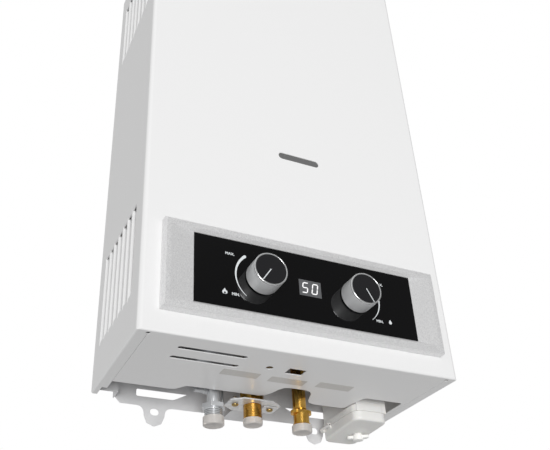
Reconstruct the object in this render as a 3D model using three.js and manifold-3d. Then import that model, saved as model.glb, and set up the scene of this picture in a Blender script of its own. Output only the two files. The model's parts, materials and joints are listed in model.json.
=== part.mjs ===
// Wall-hung tankless gas water heater with an open flue. Millimetres, +Z up, front towards -Y.
// Everything is laid out from the front face of the casing (y = 0), its middle (x = 0) and its
// bottom (z = 0). The finished group is then moved so that its origin lies on the wall, midway
// between the two upper hanging holes.

import * as THREE from 'three';
import { mergeVertices } from 'three/addons/utils/BufferGeometryUtils.js';
import { ConvexGeometry } from 'three/addons/geometries/ConvexGeometry.js';
import Module from 'manifold-3d';

const wasm = await Module();
wasm.setup();

// Driving sizes

const casing = {
  width: 340,
  height: 590,
  depth: 159,
  sheet: 1,
  corner_bend: 5,
  edge_bend: 2,
};
const stand_off = 18; // from the casing's rear edge to the wall
const clearance = 0.3; // between two pieces that touch
const running = 0.25; // radial, between a turning shaft and its bore
const overrun = 2; // how far a cutting solid passes the face that it cuts
const round_sides = 24;
const knob_sides = 40;
const small_sides = 12;
const pipe_sides = 10;
const coil_sides = 8;
const arc_steps = 2; // half the facets of each arc
const sweep_steps = 6;
const bend_steps = 3;

const half_width = casing.width / 2;
const wall_y = casing.depth + stand_off;

const louvres = {
  count: 7,
  pitch: 16.8,
  first: 25,
  slot: 13.4,
  gap: 11.7,
  lead: 0.3,
  reach: 2.6,
  ramp: 6,
  length: 106,
  lower: 44,
  upper: 447,
};

const bottom = {
  flange: 11.4,
  flange_tail: 6,
  flange_step: 139.6,
  seam: 0.3,
  seam_start: 5.5,
  relief_radius: 2.2,
  corner_radius: 4,
  edge_left: 121,
  edge_gas: 107.7,
  edge_water: 111.5,
  gas_rise_left: -100,
  gas_rise_right: -80,
  cold_notch: 78,
  cold_left_start: -5.6,
  cold_left_end: 16.4,
  cold_right_start: 34,
  cold_right_end: 62,
  battery_notch: 76.8,
  battery_sweep_start: -24.5, // from the battery box's middle, as are the next two
  battery_sweep_end: -13.5,
  battery_right: 32.5,
};
const sweep_share = 0.65; // how far each end of an S-shaped edge runs on before it turns

const air_slots = { left: -124.8, right: -55.4, width: 6.2, first: 24.3, second: 45.8 };
const service_hole = { x: -26, y: 38.2, radius: 3.9 };
const drain_hole = { left: -6.6, right: 12, front: 32.6, back: 45.8 };

const window_slot = { x: 3.4, z: 236.5, length: 49.6, height: 8.2 };
const window_pane = { margin: 5, thick: 2 };

const frame = {
  half_width: 143,
  sheet: 1,
  side_bottom: 5,
  lip_outer: 168,
  top_reach: 37,
  bottom_edge: 0.5,
  corner_drop: 8,
  tab_x: 97,
  tab_half_width: 11.5,
  tab_fillet: 8,
  tab_centre: -9.8,
  tab_hole_z: -5.5,
  hole_length: 10,
  hole_height: 7.6,
  hang_height: 565,
  window_inner: 60,
  window_outer: 118,
  window_low: 10.4,
  window_high: 18.6,
  window_slant: 16,
};

const bezel = {
  half_width: 151,
  low: 22,
  high: 116,
  proud: 10.8,
  edge: 1.6,
  rim: 7,
  ledge: 5,
  wall: 2.6,
};
const glass = { half_width: 121.3, low: 32.4, high: 106.1, sunk: 3.65, thick: 3 };
const knob = {
  spacing: 104,
  height: 69.3,
  radius: 17.6,
  length: 19.6,
  off_glass: 1,
  edge: 0.7,
  insert_radius: 16.1,
  insert_depth: 1.2,
  draft: 0.3,
};
const spindle = { radius: 3, in_knob: 14, hole_radius: 5 };
const display = { half_width: 20, height: 25, thick: 11 };

const gas = {
  x: -50,
  y: 124,
  stem_radius: 7,
  stem_top: 40,
  bore_radius: 5.5,
  hex_top: -10,
  hex_bottom: -15,
  hex_flats: 22.5,
  thread_radius: 9.1,
  thread_end: -31.2,
  cap_top: -23.5,
  cap_bottom: -32.6,
  cap_radius: 11.15,
};
const hot = {
  x: -5.6,
  y: 124,
  bore_radius: 6,
  hex_top: 9,
  hex_flats: 24,
  neck_radius: 8,
  neck_top: 16,
  thread_radius: 9.5,
  thread_end: -26,
  cap_top: -20.6,
  cap_bottom: -27.4,
  cap_radius: 10.3,
};
const cold = {
  x: 38.7,
  y: 99,
  column_radius: 7.2,
  column_shift: 1.4,
  column_bottom: -13.6,
  neck_radius: 5.5,
  bore_radius: 5,
  ear_top: -15,
  ear_bottom: -18.5,
  ear_span: 23,
  ear_width: 13,
  collar_radius: 8.15,
  collar_bottom: -29,
  thread_radius: 9,
  thread_end: -37.2,
  cap_top: -31,
  cap_bottom: -38.6,
  cap_radius: 10.45,
};
const cap_wall = 1.1;

const flange = {
  top: -4.5,
  thick: 1.5,
  half_length: 29,
  half_width: 18,
  corner_x: 12,
  corner_y: 9,
  screw_spacing: 40,
};
const bracket = { half_width: 26, front: 10, back: 12, tongue: 13, thick: 1 };
const clip = { inner: 11, outer: 28, front: 6, back: 12, thick: 1 };
const flange_screw = { head_radius: 3.6, head: 2.4, shank_radius: 2, length: 8 };

const gas_valve = {
  left: -74,
  right: -30,
  front: 62,
  back: 146,
  low: 28,
  high: 96,
  corner: 8,
  boss_radius: 11,
  boss_front: 40,
  foot_low: 28,
  foot_high: 36,
  neck_radius: 9,
  neck_top: 108,
  neck_y: 110,
  link_radius: 16,
  link_reach: 8,
};
const solenoid = { radius: 14, length: 40, y: 112, z: 62, cap_radius: 9, cap_length: 6 };
const link = { y: 96, z: 62 }; // the line of the push rod between the two valves
const diaphragm = {
  cover_left: -12,
  split: -0.7,
  cover_thick: 11.3,
  recess_radius: 24,
  recess: 8,
  radius: 33,
  neck_radius: 12,
};
const water_valve = {
  disc: 10.4,
  right: 72,
  front: 74,
  back: 118,
  low: 40,
  high: 88,
  corner: 8,
  boss_radius: 11,
  boss_front: 40,
  outlet_radius: 8,
  outlet_length: 8,
  outlet_z: 64,
};
const push_rod = { radius: 2, plate_radius: 20, plate: 2, travel: 4, in_valve: 6 };
const microswitch = { width: 28, height: 16 };

const pipe_radius = 6;
const pipe_bend = 12;
const riser = { turn_low: 126, turn_high: 178 };
const cold_run = { front: 38, level: 160 };
const hot_run = { side_gap: 21, y: 145, level: 155, over_valve: 135, low: 40, joint: 22 };
const burner = {
  bars: 8,
  margin: 20,
  bar_width: 14,
  front: 66,
  back: 154,
  low: 196,
  high: 228,
  venturi: 6,
  rail: 4,
  rail_low: 210,
  rail_high: 216,
  side: 1,
};
const manifold_bar = { radius: 7, y: 50, z: 205, nozzle_radius: 3 };
const chamber = {
  side_gap: 45,
  front: 60,
  back: 162,
  low: 245,
  high: 400,
  sheet: 1,
  corner: 10,
  ear_inset: 17,
  ear_width: 24,
  ear_low: 255,
  ear_high: 388,
};
const chamber_half = half_width - chamber.side_gap;
const coil = { low: 285, turns: 2, climb: 40, corner: 15, rise: 26 };
const exchanger = { height: 52, fins: 11, fin: 0.8, tubes: 3, tube_radius: 6, tube_reach: 6 };
const hood = {
  side_gap: 35,
  front: 32,
  back: 168,
  height: 108,
  sheet: 1,
  lip_inset: 17,
  lip_front: 66,
  lip_back: 156,
  vent_low: 8,
  vent_high: 48,
  vent_front: 60,
  vent_back: 140,
};
const collar = {
  radius: 55,
  sheet: 1.2,
  flange: 11,
  top: 615,
  bead: 1.2,
  bead_drop: 8,
  y: 100,
  casing_gap: 2,
};

const igniter = { side_gap: 3, right: -96, low: 50, high: 130, depth: 32, corner: 3 };
const electrode = { radius: 3.2, low: 200, high: 233, tip_radius: 0.8, tip: 8 };
const thermostat = { radius: 8, thick: 8, hood_inset: 45, hood_z: 500 };

const battery = {
  from_side: 48.5, // from the casing's right side to the box's middle
  y: 128,
  cell_radius: 17.1,
  cell_length: 61.5,
  cell_gap: 0.2,
  cell_bottom: -12,
  nub_radius: 4.5,
  nub: 1.5,
  play: 0.4,
  wall: 1.5,
  bay_wall: 1.2,
  bay_shift: 1,
  collar_width: 41,
  collar_length: 74,
  collar_top: -0.8,
  split: -8,
  front_bottom: -18.5,
  rear_bottom: -21.5,
  corner: 9,
  contact: 0.5,
  contact_width: 6,
  spring_radius: 6,
  spring_top_radius: 3,
  ear_low: 28,
  ear_high: 32,
  ear_inset: 4,
};
const battery_x = half_width - battery.from_side;
const hinge = { y: 25, radius: 1.8, pin_radius: 0.9, half_span: 10, middle: 4.5 };
const latch = {
  x: 6,
  y: 4,
  hub_radius: 5.2,
  drop: 4,
  bevel: 1,
  wing_length: 19,
  wing_width: 5,
  wing_drop: 3,
  stem_radius: 2.5,
  clip_radius: 4,
  clip: 1.5,
  rest_angle: -34,
};

const cover_screw = { x: 100, inset: 9, head_radius: 4, head: 2, shank_radius: 1.9, length: 7 };
const tie_rod = { x: 8, y: -4, radius: 1 };
const tap = { z: 4, radius: 2.4, length: 14, hex: 4, hex_flats: 6.5 };
const relief = { x: 2, z: 5.5, radius: 3.6, length: 6, boss: 2 };

// Solids from three.js geometry

function solid(geometry) {
  const bare = geometry.clone();
  bare.deleteAttribute('normal');
  bare.deleteAttribute('uv');
  const merged = mergeVertices(bare);
  const corners = [];
  for (let i = 0; i < merged.index.count; i += 3) {
    const [a, b, c] = [0, 1, 2].map((k) => merged.index.getX(i + k));
    if (a !== b && b !== c && c !== a) corners.push(a, b, c);
  }
  const points = merged.attributes.position;
  const [p, q, r] = [0, 1, 2].map(() => new THREE.Vector3());
  let volume = 0;
  for (let i = 0; i < corners.length; i += 3) {
    p.fromBufferAttribute(points, corners[i]);
    q.fromBufferAttribute(points, corners[i + 1]);
    r.fromBufferAttribute(points, corners[i + 2]);
    volume += p.dot(q.cross(r));
  }
  if (volume < 0) corners.reverse();
  return new wasm.Manifold(new wasm.Mesh({
    numProp: 3,
    vertProperties: new Float32Array(points.array),
    triVerts: new Uint32Array(corners),
  }));
}

function block(x0, x1, y0, y1, z0, z1) {
  const geometry = new THREE.BoxGeometry(x1 - x0, y1 - y0, z1 - z0);
  geometry.translate((x0 + x1) / 2, (y0 + y1) / 2, (z0 + z1) / 2);
  return solid(geometry);
}

function extrusion(shape, depth, steps = arc_steps) {
  return new THREE.ExtrudeGeometry(shape, { depth, bevelEnabled: false, curveSegments: steps });
}

// An outline in x and y between two heights
function extrudeZ(shape, low, high, steps = arc_steps) {
  return solid(extrusion(shape, high - low, steps).translate(0, 0, low));
}

// An outline in x and z between a front and a back
function extrudeY(shape, front, back) {
  return solid(extrusion(shape, back - front).rotateX(Math.PI / 2).translate(0, back, 0));
}

// An outline in y and z between a left and a right
const to_side = new THREE.Matrix4().makeBasis(
  new THREE.Vector3(0, 1, 0),
  new THREE.Vector3(0, 0, 1),
  new THREE.Vector3(1, 0, 0),
);
function extrudeX(shape, left, right) {
  return solid(extrusion(shape, right - left).applyMatrix4(to_side).translate(left, 0, 0));
}

function rodZ(radius, low, high, x = 0, y = 0, sides = round_sides) {
  const geometry = new THREE.CylinderGeometry(radius, radius, high - low, sides);
  return solid(geometry.rotateX(Math.PI / 2).translate(x, y, (low + high) / 2));
}

function rodY(radius, front, back, x = 0, z = 0, sides = round_sides) {
  const geometry = new THREE.CylinderGeometry(radius, radius, back - front, sides);
  return solid(geometry.translate(x, (front + back) / 2, z));
}

function rodX(radius, left, right, y = 0, z = 0, sides = round_sides) {
  const geometry = new THREE.CylinderGeometry(radius, radius, right - left, sides);
  return solid(geometry.rotateZ(Math.PI / 2).translate((left + right) / 2, y, z));
}

// A profile of [radius, height] points, turned about Z
function revolve(profile, sides = round_sides) {
  const points = profile.map(([radius, height]) => new THREE.Vector2(radius, height));
  return solid(new THREE.LatheGeometry(points, sides).rotateX(Math.PI / 2));
}

// A hexagonal bar about Z with a flat towards the front
function hexagon(flats, low, high) {
  const geometry = new THREE.CylinderGeometry(flats / Math.sqrt(3), flats / Math.sqrt(3), high - low, 6);
  return solid(geometry.rotateY(Math.PI / 6).rotateX(Math.PI / 2).translate(0, 0, (low + high) / 2));
}

function hull(points) {
  return solid(new ConvexGeometry(points.map(([x, y, z]) => new THREE.Vector3(x, y, z))));
}

function rounded(x0, x1, y0, y1, radius) {
  const shape = new THREE.Shape();
  shape.moveTo(x0 + radius, y0);
  shape.lineTo(x1 - radius, y0);
  shape.absarc(x1 - radius, y0 + radius, radius, -Math.PI / 2, 0, false);
  shape.lineTo(x1, y1 - radius);
  shape.absarc(x1 - radius, y1 - radius, radius, 0, Math.PI / 2, false);
  shape.lineTo(x0 + radius, y1);
  shape.absarc(x0 + radius, y1 - radius, radius, Math.PI / 2, Math.PI, false);
  shape.lineTo(x0, y0 + radius);
  shape.absarc(x0 + radius, y0 + radius, radius, Math.PI, Math.PI * 1.5, false);
  return shape;
}

function oblong(x, y, length, height) {
  return rounded(x - length / 2, x + length / 2, y - height / 2, y + height / 2, height / 2);
}

function polygon(points) {
  return new THREE.Shape(points.map(([x, y]) => new THREE.Vector2(x, y)));
}

// Straight runs joined by round bends. It has a station at each end of a run and a few round each
// bend, and t counts the stations.
class Route extends THREE.Curve {
  constructor(corners, bend) {
    super();
    const at = corners.map((corner) => new THREE.Vector3(...corner));
    this.stations = [at[0]];
    for (let i = 1; i < at.length - 1; i += 1) {
      const before = at[i - 1].clone().sub(at[i]).normalize();
      const after = at[i + 1].clone().sub(at[i]).normalize();
      const half_turn = (Math.PI - before.angleTo(after)) / 2;
      const reach = bend * Math.tan(half_turn);
      const middle = before.clone().add(after).setLength(bend / Math.cos(half_turn)).add(at[i]);
      const start = before.clone().multiplyScalar(reach).add(at[i]).sub(middle);
      const axis = after.clone().cross(before).normalize();
      for (let k = 0; k <= bend_steps; k += 1) {
        const turn = (2 * half_turn * k) / bend_steps;
        this.stations.push(start.clone().applyAxisAngle(axis, turn).add(middle));
      }
    }
    this.stations.push(at[at.length - 1]);
  }

  get steps() {
    return this.stations.length - 1;
  }

  getUtoTmapping(u) {
    return u;
  }

  getPoint(t, target = new THREE.Vector3()) {
    return target.copy(this.stations[Math.round(t * this.steps)]);
  }

  getTangent(t, target = new THREE.Vector3()) {
    const i = Math.round(t * this.steps);
    const before = this.stations[Math.max(i - 1, 0)];
    const here = this.stations[i];
    const after = this.stations[Math.min(i + 1, this.steps)];
    const arriving = here.clone().sub(before).normalize();
    return target.copy(after).sub(here).normalize().add(arriving).normalize();
  }
}

function pipe(corners, radius, bend, sides = pipe_sides) {
  return pipeAlong(new Route(corners, bend), radius, sides);
}

function pipeAlong(path, radius, sides) {
  const section = new THREE.Shape(
    new THREE.EllipseCurve(0, 0, radius, radius, 0, Math.PI * 2).getPoints(sides).slice(0, sides),
  );
  const options = { steps: path.steps, extrudePath: path, bevelEnabled: false };
  return solid(new THREE.ExtrudeGeometry(section, options));
}

function join(parts) {
  return parts.reduce((whole, part) => whole.add(part));
}

function cut(whole, parts) {
  return parts.reduce((rest, part) => rest.subtract(part), whole);
}

// Finishes

function finish(color, roughness, metalness) {
  return new THREE.MeshStandardMaterial({ color, roughness, metalness });
}

const finishes = {
  white_enamel: finish(0xf2f2f2, 0.3, 0),
  zinc_plate: finish(0xb4b6b8, 0.45, 0.8),
  window_glass: finish(0x5b5f63, 0.15, 0),
  silver_paint: finish(0xc6c8ca, 0.4, 0.5),
  black_glass: finish(0x131315, 0.08, 0),
  dark_plastic: finish(0x1c1c1e, 0.5, 0),
  satin_metal: finish(0xb9bbbd, 0.3, 0.9),
  aluminium: finish(0xb8bac0, 0.45, 0.8),
  brass: finish(0xb58c3c, 0.35, 0.9),
  copper: finish(0xb4693f, 0.35, 0.9),
  stainless: finish(0xa8aaac, 0.35, 0.9),
  white_plastic: finish(0xe4e2dd, 0.45, 0),
  cap_plastic: finish(0xdedcd8, 0.4, 0),
  ceramic: finish(0xf0ece4, 0.3, 0),
};

const heater = new THREE.Group();
heater.position.set(0, -wall_y, -frame.hang_height);

function place(name, shape, material, [x, y, z] = [0, 0, 0], [turn_x, turn_y, turn_z] = [0, 0, 0]) {
  const { vertProperties, triVerts } = shape.getMesh();
  const geometry = new THREE.BufferGeometry();
  geometry.setAttribute('position', new THREE.BufferAttribute(vertProperties, 3));
  geometry.setIndex(new THREE.BufferAttribute(triVerts, 1));
  geometry.computeVertexNormals();
  const mesh = new THREE.Mesh(geometry, material);
  mesh.name = name;
  mesh.position.set(x, y, z);
  mesh.rotation.set(turn_x, turn_y, turn_z);
  heater.add(mesh);
}

// Front cover: one folded steel sheet with louvred sides

function coverBlank() {
  const { sheet, height, depth, corner_bend, edge_bend } = casing;
  const back = depth + overrun;
  const outer = [
    extrudeZ(frontCornered(half_width, 0, back, corner_bend), 0, height),
    extrudeX(rounded(0, back + edge_bend, 0, height, edge_bend), -half_width, half_width),
    extrudeY(rounded(-half_width, half_width, 0, height, edge_bend), 0, back),
  ];
  const half = half_width - sheet;
  const ceiling = height - sheet;
  const inner = [
    extrudeZ(frontCornered(half, sheet, back, corner_bend - sheet), sheet, ceiling),
    extrudeY(rounded(-half, half, sheet, ceiling, edge_bend - sheet), 0, back),
  ];
  const outside = outer.reduce((a, b) => a.intersect(b));
  const inside = inner.reduce((a, b) => a.intersect(b));
  const wide = half_width + overrun;
  const behind = block(-wide, wide, depth, back + overrun, -overrun, height + overrun);
  return cut(outside, [inside, behind]);
}

function frontCornered(half, front, back, bend) {
  const shape = new THREE.Shape();
  shape.moveTo(-half, back);
  shape.lineTo(-half, front + bend);
  shape.absarc(-half + bend, front + bend, bend, Math.PI, Math.PI * 1.5, false);
  shape.lineTo(half - bend, front);
  shape.absarc(half - bend, front + bend, bend, Math.PI * 1.5, Math.PI * 2, false);
  shape.lineTo(half, back);
  return shape;
}

// The rear edge of each louvre slot is folded inwards and slopes back to the wall at both ends
function louvreSolids(side, low, action) {
  const { length, slot, gap, lead, reach, ramp } = louvres;
  const { sheet } = casing;
  const high = low + length;
  const inwards = (depth, y, z) => [side * (half_width - depth), y, z];
  return Array.from({ length: louvres.count }, (_, i) => {
    const front = louvres.first + i * louvres.pitch;
    const blade = front + gap;
    const back = front + slot;
    if (action === 'press') {
      return hull([
        ...[low - sheet, high + sheet].flatMap((z) => [
          inwards(sheet / 2, blade, z),
          inwards(sheet, blade, z),
          inwards(sheet / 2, back + sheet, z),
          inwards(sheet, back + sheet, z),
        ]),
        inwards(reach + sheet, blade, low + ramp),
        inwards(reach + sheet, blade, high - ramp),
      ]);
    }
    const slope = hull([
      ...[low, high].flatMap((z) => [
        inwards(-overrun, blade - lead, z),
        inwards(-overrun, back, z),
        inwards(0, blade - lead, z),
        inwards(0, back, z),
      ]),
      inwards(reach, blade - lead, low + ramp),
      inwards(reach, blade - lead, high - ramp),
    ]);
    const x = [inwards(sheet + overrun)[0], inwards(-overrun)[0]].sort((m, n) => m - n);
    return slope.add(block(x[0], x[1], front, blade, low + ramp / 2, high - ramp / 2));
  });
}

function bottomOpening() {
  const seam = half_width - bottom.flange;
  const tail = half_width - bottom.flange_tail;
  const back = casing.depth + overrun;
  const shape = new THREE.Shape();
  shape.moveTo(-tail, back);
  shape.lineTo(-tail, bottom.flange_step);
  shape.lineTo(-seam, bottom.flange_step);
  shape.lineTo(-seam, bottom.edge_left);
  shape.lineTo(bottom.gas_rise_left, bottom.edge_left);
  sweep(shape, bottom.gas_rise_left, bottom.edge_left, bottom.gas_rise_right, bottom.edge_gas);
  shape.lineTo(bottom.cold_left_start, bottom.edge_gas);
  sweep(shape, bottom.cold_left_start, bottom.edge_gas, bottom.cold_left_end, bottom.cold_notch);
  shape.lineTo(bottom.cold_right_start, bottom.cold_notch);
  sweep(shape, bottom.cold_right_start, bottom.cold_notch, bottom.cold_right_end, bottom.edge_water);
  const sweep_start = battery_x + bottom.battery_sweep_start;
  const sweep_end = battery_x + bottom.battery_sweep_end;
  const battery_right = battery_x + bottom.battery_right;
  shape.lineTo(sweep_start, bottom.edge_water);
  sweep(shape, sweep_start, bottom.edge_water, sweep_end, bottom.battery_notch);
  const corner = bottom.corner_radius;
  shape.lineTo(battery_right - corner, bottom.battery_notch);
  shape.absarc(battery_right - corner, bottom.battery_notch + corner, corner, -Math.PI / 2, 0, false);
  shape.lineTo(battery_right, bottom.edge_left);
  shape.lineTo(seam, bottom.edge_left);
  shape.lineTo(seam, bottom.flange_step);
  shape.lineTo(tail, bottom.flange_step);
  shape.lineTo(tail, back);
  return shape;
}

function sweep(shape, x0, y0, x1, y1) {
  const run = (x1 - x0) * sweep_share;
  shape.bezierCurveTo(x0 + run, y0, x1 - run, y1, x1, y1);
}

function coverCuts() {
  const under = -overrun;
  const over = casing.sheet + overrun;
  const seam = half_width - bottom.flange;
  const window = oblong(window_slot.x, window_slot.z, window_slot.length, window_slot.height);
  const controls = rounded(
    bezel.ledge - glass.half_width,
    glass.half_width - bezel.ledge,
    glass.low + bezel.ledge,
    glass.high - bezel.ledge,
    bezel.ledge,
  );
  const slots = [air_slots.first, air_slots.second].map((y) =>
    extrudeZ(
      oblong((air_slots.left + air_slots.right) / 2, y, air_slots.right - air_slots.left, air_slots.width),
      under,
      over,
    ));
  const seams = [-1, 1].flatMap((side) => [
    block(
      side * seam - bottom.seam / 2,
      side * seam + bottom.seam / 2,
      bottom.seam_start,
      bottom.edge_left + overrun,
      under,
      over,
    ),
    rodZ(bottom.relief_radius, under, over, side * seam, bottom.seam_start, small_sides),
  ]);
  const top = casing.height - casing.sheet - overrun;
  const top_end = casing.height + overrun;
  const screws = [-1, 1].map((side) => rodZ(
    cover_screw.shank_radius + clearance,
    top,
    top_end,
    side * cover_screw.x,
    casing.depth - cover_screw.inset,
    small_sides,
  ));
  return [
    extrudeY(window, -overrun, casing.sheet + overrun),
    extrudeY(controls, -overrun, casing.sheet + overrun),
    ...slots,
    ...seams,
    ...screws,
    extrudeZ(bottomOpening(), under, over, sweep_steps),
    rodZ(service_hole.radius, under, over, service_hole.x, service_hole.y, small_sides),
    block(drain_hole.left, drain_hole.right, drain_hole.front, drain_hole.back, under, over),
    rodZ(collar.radius + collar.casing_gap, top, top_end, 0, collar.y),
  ];
}

function frontCover() {
  const groups = [-1, 1].flatMap((side) => [louvres.lower, louvres.upper].map((low) => [side, low]));
  const pressed = groups.flatMap(([side, low]) => louvreSolids(side, low, 'press'));
  const opened = groups.flatMap(([side, low]) => louvreSolids(side, low, 'open'));
  return cut(join([coverBlank(), ...pressed]), [...opened, ...coverCuts()]);
}
place('front_cover', frontCover(), finishes.white_enamel);

// Flame window behind the slot in the front
const pane_back = casing.sheet + clearance + window_pane.thick;
const pane = rounded(
  window_slot.x - window_slot.length / 2 - window_pane.margin,
  window_slot.x + window_slot.length / 2 + window_pane.margin,
  window_slot.z - window_slot.height / 2 - window_pane.margin,
  window_slot.z + window_slot.height / 2 + window_pane.margin,
  window_pane.thick,
);
place('flame_window', extrudeY(pane, casing.sheet + clearance, pane_back), finishes.window_glass);

// Rear frame: a pressed tray against the wall, with lips that carry the cover

const plate_front = wall_y - frame.sheet;
const lip_front = casing.depth + clearance;
const shelf_high = casing.height - casing.sheet - clearance;
const bracket_top = flange.top + clearance + bracket.thick;

function platePlan() {
  const { half_width: half, bottom_edge: edge, tab_x } = frame;
  const tongue_left = hot.x - bracket.tongue;
  const tongue_right = hot.x + bracket.tongue;
  const low = bracket_top - bracket.thick;
  const shape = new THREE.Shape();
  shape.moveTo(-half, shelf_high);
  shape.lineTo(-half, edge + frame.corner_drop);
  shape.lineTo(-half + frame.corner_drop, edge);
  tabPlan(shape, -tab_x);
  shape.lineTo(tongue_left, edge);
  shape.lineTo(tongue_left, low);
  shape.lineTo(tongue_right, low);
  shape.lineTo(tongue_right, edge);
  tabPlan(shape, tab_x);
  shape.lineTo(half - frame.corner_drop, edge);
  shape.lineTo(half, edge + frame.corner_drop);
  shape.lineTo(half, shelf_high);
  return shape;
}

function tabPlan(shape, x) {
  const { bottom_edge: edge, tab_half_width: half, tab_fillet: fillet, tab_centre } = frame;
  shape.lineTo(x - half - fillet, edge);
  shape.absarc(x - half - fillet, edge - fillet, fillet, Math.PI / 2, 0, true);
  shape.absarc(x, tab_centre, half, Math.PI, Math.PI * 2, false);
  shape.absarc(x + half + fillet, edge - fillet, fillet, Math.PI, Math.PI / 2, true);
}

function rearFrame() {
  const { half_width: half, sheet, lip_outer, side_bottom, tab_x, hole_length, hole_height } = frame;
  const tray = [extrudeY(platePlan(), plate_front, wall_y)];
  for (const side of [-1, 1]) {
    const wall = [side * half, side * (half - sheet)].sort((a, b) => a - b);
    const lip = [side * (half - sheet), side * lip_outer].sort((a, b) => a - b);
    tray.push(block(wall[0], wall[1], lip_front, wall_y, side_bottom, shelf_high));
    tray.push(block(lip[0], lip[1], lip_front, lip_front + sheet, side_bottom, shelf_high));
  }
  tray.push(block(-half, half, wall_y - frame.top_reach, wall_y, shelf_high - sheet, shelf_high));
  tray.push(block(
    hot.x - bracket.tongue,
    hot.x + bracket.tongue,
    hot.y,
    wall_y,
    bracket_top - bracket.thick,
    bracket_top,
  ));
  tray.push(block(
    hot.x - bracket.half_width,
    hot.x + bracket.half_width,
    hot.y - bracket.front,
    hot.y + bracket.back,
    bracket_top - bracket.thick,
    bracket_top,
  ));
  const through = [plate_front - overrun, wall_y + overrun];
  const holes = [-1, 1].flatMap((side) => [
    extrudeY(oblong(side * tab_x, frame.tab_hole_z, hole_length, hole_height), ...through),
    extrudeY(oblong(side * tab_x, frame.hang_height, hole_length, hole_height), ...through),
    extrudeY(polygon([
      [side * frame.window_inner, frame.window_high],
      [side * frame.window_outer, frame.window_high],
      [side * frame.window_outer, frame.window_low],
      [side * (frame.window_inner + frame.window_slant), frame.window_low],
    ]), ...through),
    rodZ(
      cover_screw.shank_radius + clearance,
      shelf_high - sheet - overrun,
      shelf_high + overrun,
      side * cover_screw.x,
      casing.depth - cover_screw.inset,
      small_sides,
    ),
    rodZ(
      flange_screw.shank_radius + clearance,
      bracket_top - bracket.thick - overrun,
      bracket_top + overrun,
      hot.x + (side * flange.screw_spacing) / 2,
      hot.y,
      small_sides,
    ),
  ]);
  const pass = rodZ(
    hot.thread_radius + clearance,
    bracket_top - bracket.thick - overrun,
    bracket_top + overrun,
    hot.x,
    hot.y,
  );
  const flue_notch = rodZ(
    collar.radius + collar.casing_gap,
    shelf_high - sheet - overrun,
    shelf_high + overrun,
    0,
    collar.y,
  );
  return cut(join(tray), [...holes, pass, flue_notch]);
}
place('rear_frame', rearFrame(), finishes.zinc_plate);

function screw(head_radius, head, shank_radius, length) {
  return revolve([
    [0, 0],
    [head_radius - head / 2, 0],
    [head_radius, head / 2],
    [head_radius, head],
    [shank_radius, head],
    [shank_radius, head + length],
    [0, head + length],
  ], small_sides);
}

for (const [name, side] of [['cover_screw_left', -1], ['cover_screw_right', 1]]) {
  const { head_radius, head, shank_radius, length } = cover_screw;
  const shape = screw(head_radius, head, shank_radius, length);
  const top = casing.height + clearance + head;
  const seat = [side * cover_screw.x, casing.depth - cover_screw.inset, top];
  place(name, shape, finishes.zinc_plate, seat, [Math.PI, 0, 0]);
}

// Control panel: moulded bezel, glass and display

const bezel_front = -bezel.proud;
const glass_front = bezel_front + glass.sunk;
const glass_back = glass_front + glass.thick;

function rectangle3(x0, x1, z0, z1, y) {
  return [[x0, y, z0], [x1, y, z0], [x1, y, z1], [x0, y, z1]];
}

function controlBezel() {
  const { half_width: half, low, high, edge, rim, wall } = bezel;
  const body = hull([
    ...rectangle3(-half, half, low, high, -clearance),
    ...rectangle3(-half, half, low, high, bezel_front + edge),
    ...rectangle3(edge - half, half - edge, low + edge, high - edge, bezel_front),
  ]);
  const recess = hull([
    ...rectangle3(rim - half, half - rim, low + rim, high - rim, bezel_front - edge),
    ...rectangle3(rim - half, half - rim, low + rim, high - rim, bezel_front),
    ...rectangle3(-glass.half_width, glass.half_width, glass.low, glass.high, glass_front),
  ]);
  const pocket = block(
    -glass.half_width - clearance,
    glass.half_width + clearance,
    glass_front - overrun,
    glass_back + clearance,
    glass.low - clearance,
    glass.high + clearance,
  );
  const opening = block(
    bezel.ledge - glass.half_width,
    glass.half_width - bezel.ledge,
    bezel_front,
    overrun,
    glass.low + bezel.ledge,
    glass.high - bezel.ledge,
  );
  const hollows = [-1, 1].map((side) => {
    const ends = [side * (glass.half_width + clearance + wall), side * (half - wall)].sort((a, b) => a - b);
    return block(ends[0], ends[1], glass_front + wall, overrun, low + wall, high - wall);
  });
  return cut(body, [recess, pocket, opening, ...hollows]);
}
place('control_bezel', controlBezel(), finishes.silver_paint);

function glassPanel() {
  const { half_width: half, low, high } = glass;
  const panel = block(-half, half, glass_front, glass_back, low, high);
  const holes = [-1, 1].map((side) => rodY(
    spindle.hole_radius,
    glass_front - overrun,
    glass_back + overrun,
    (side * knob.spacing) / 2,
    knob.height,
    small_sides,
  ));
  return cut(panel, holes);
}
place('glass_panel', glassPanel(), finishes.black_glass);

const display_front = glass_back + clearance;
const display_shape = extrudeY(
  rounded(-display.half_width, display.half_width, -display.height / 2, display.height / 2, clearance),
  display_front,
  display_front + display.thick,
);
place('display_module', display_shape, finishes.dark_plastic, [0, 0, knob.height]);

// Knobs on their spindles: each is turned about its own axis, which points to the front

const knob_back = glass_front - knob.off_glass;

function knobBody() {
  const { radius, length, edge, draft, insert_radius, insert_depth } = knob;
  const bore = spindle.radius + running;
  return revolve([
    [bore, 0],
    [radius - edge, 0],
    [radius, edge],
    [radius - draft, length - edge],
    [radius - draft - edge, length],
    [insert_radius, length],
    [insert_radius, length - insert_depth],
    [0, length - insert_depth],
    [0, spindle.in_knob + clearance],
    [bore, spindle.in_knob + clearance],
    [bore, 0],
  ], knob_sides);
}

function knobInsert() {
  const radius = knob.insert_radius - clearance;
  const high = knob.length - clearance;
  const low = knob.length - knob.insert_depth + clearance;
  return rodZ(radius, low, high, 0, 0, knob_sides);
}

function spindleShape(reach) {
  return rodZ(spindle.radius, -reach, spindle.in_knob, 0, 0, small_sides);
}

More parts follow.
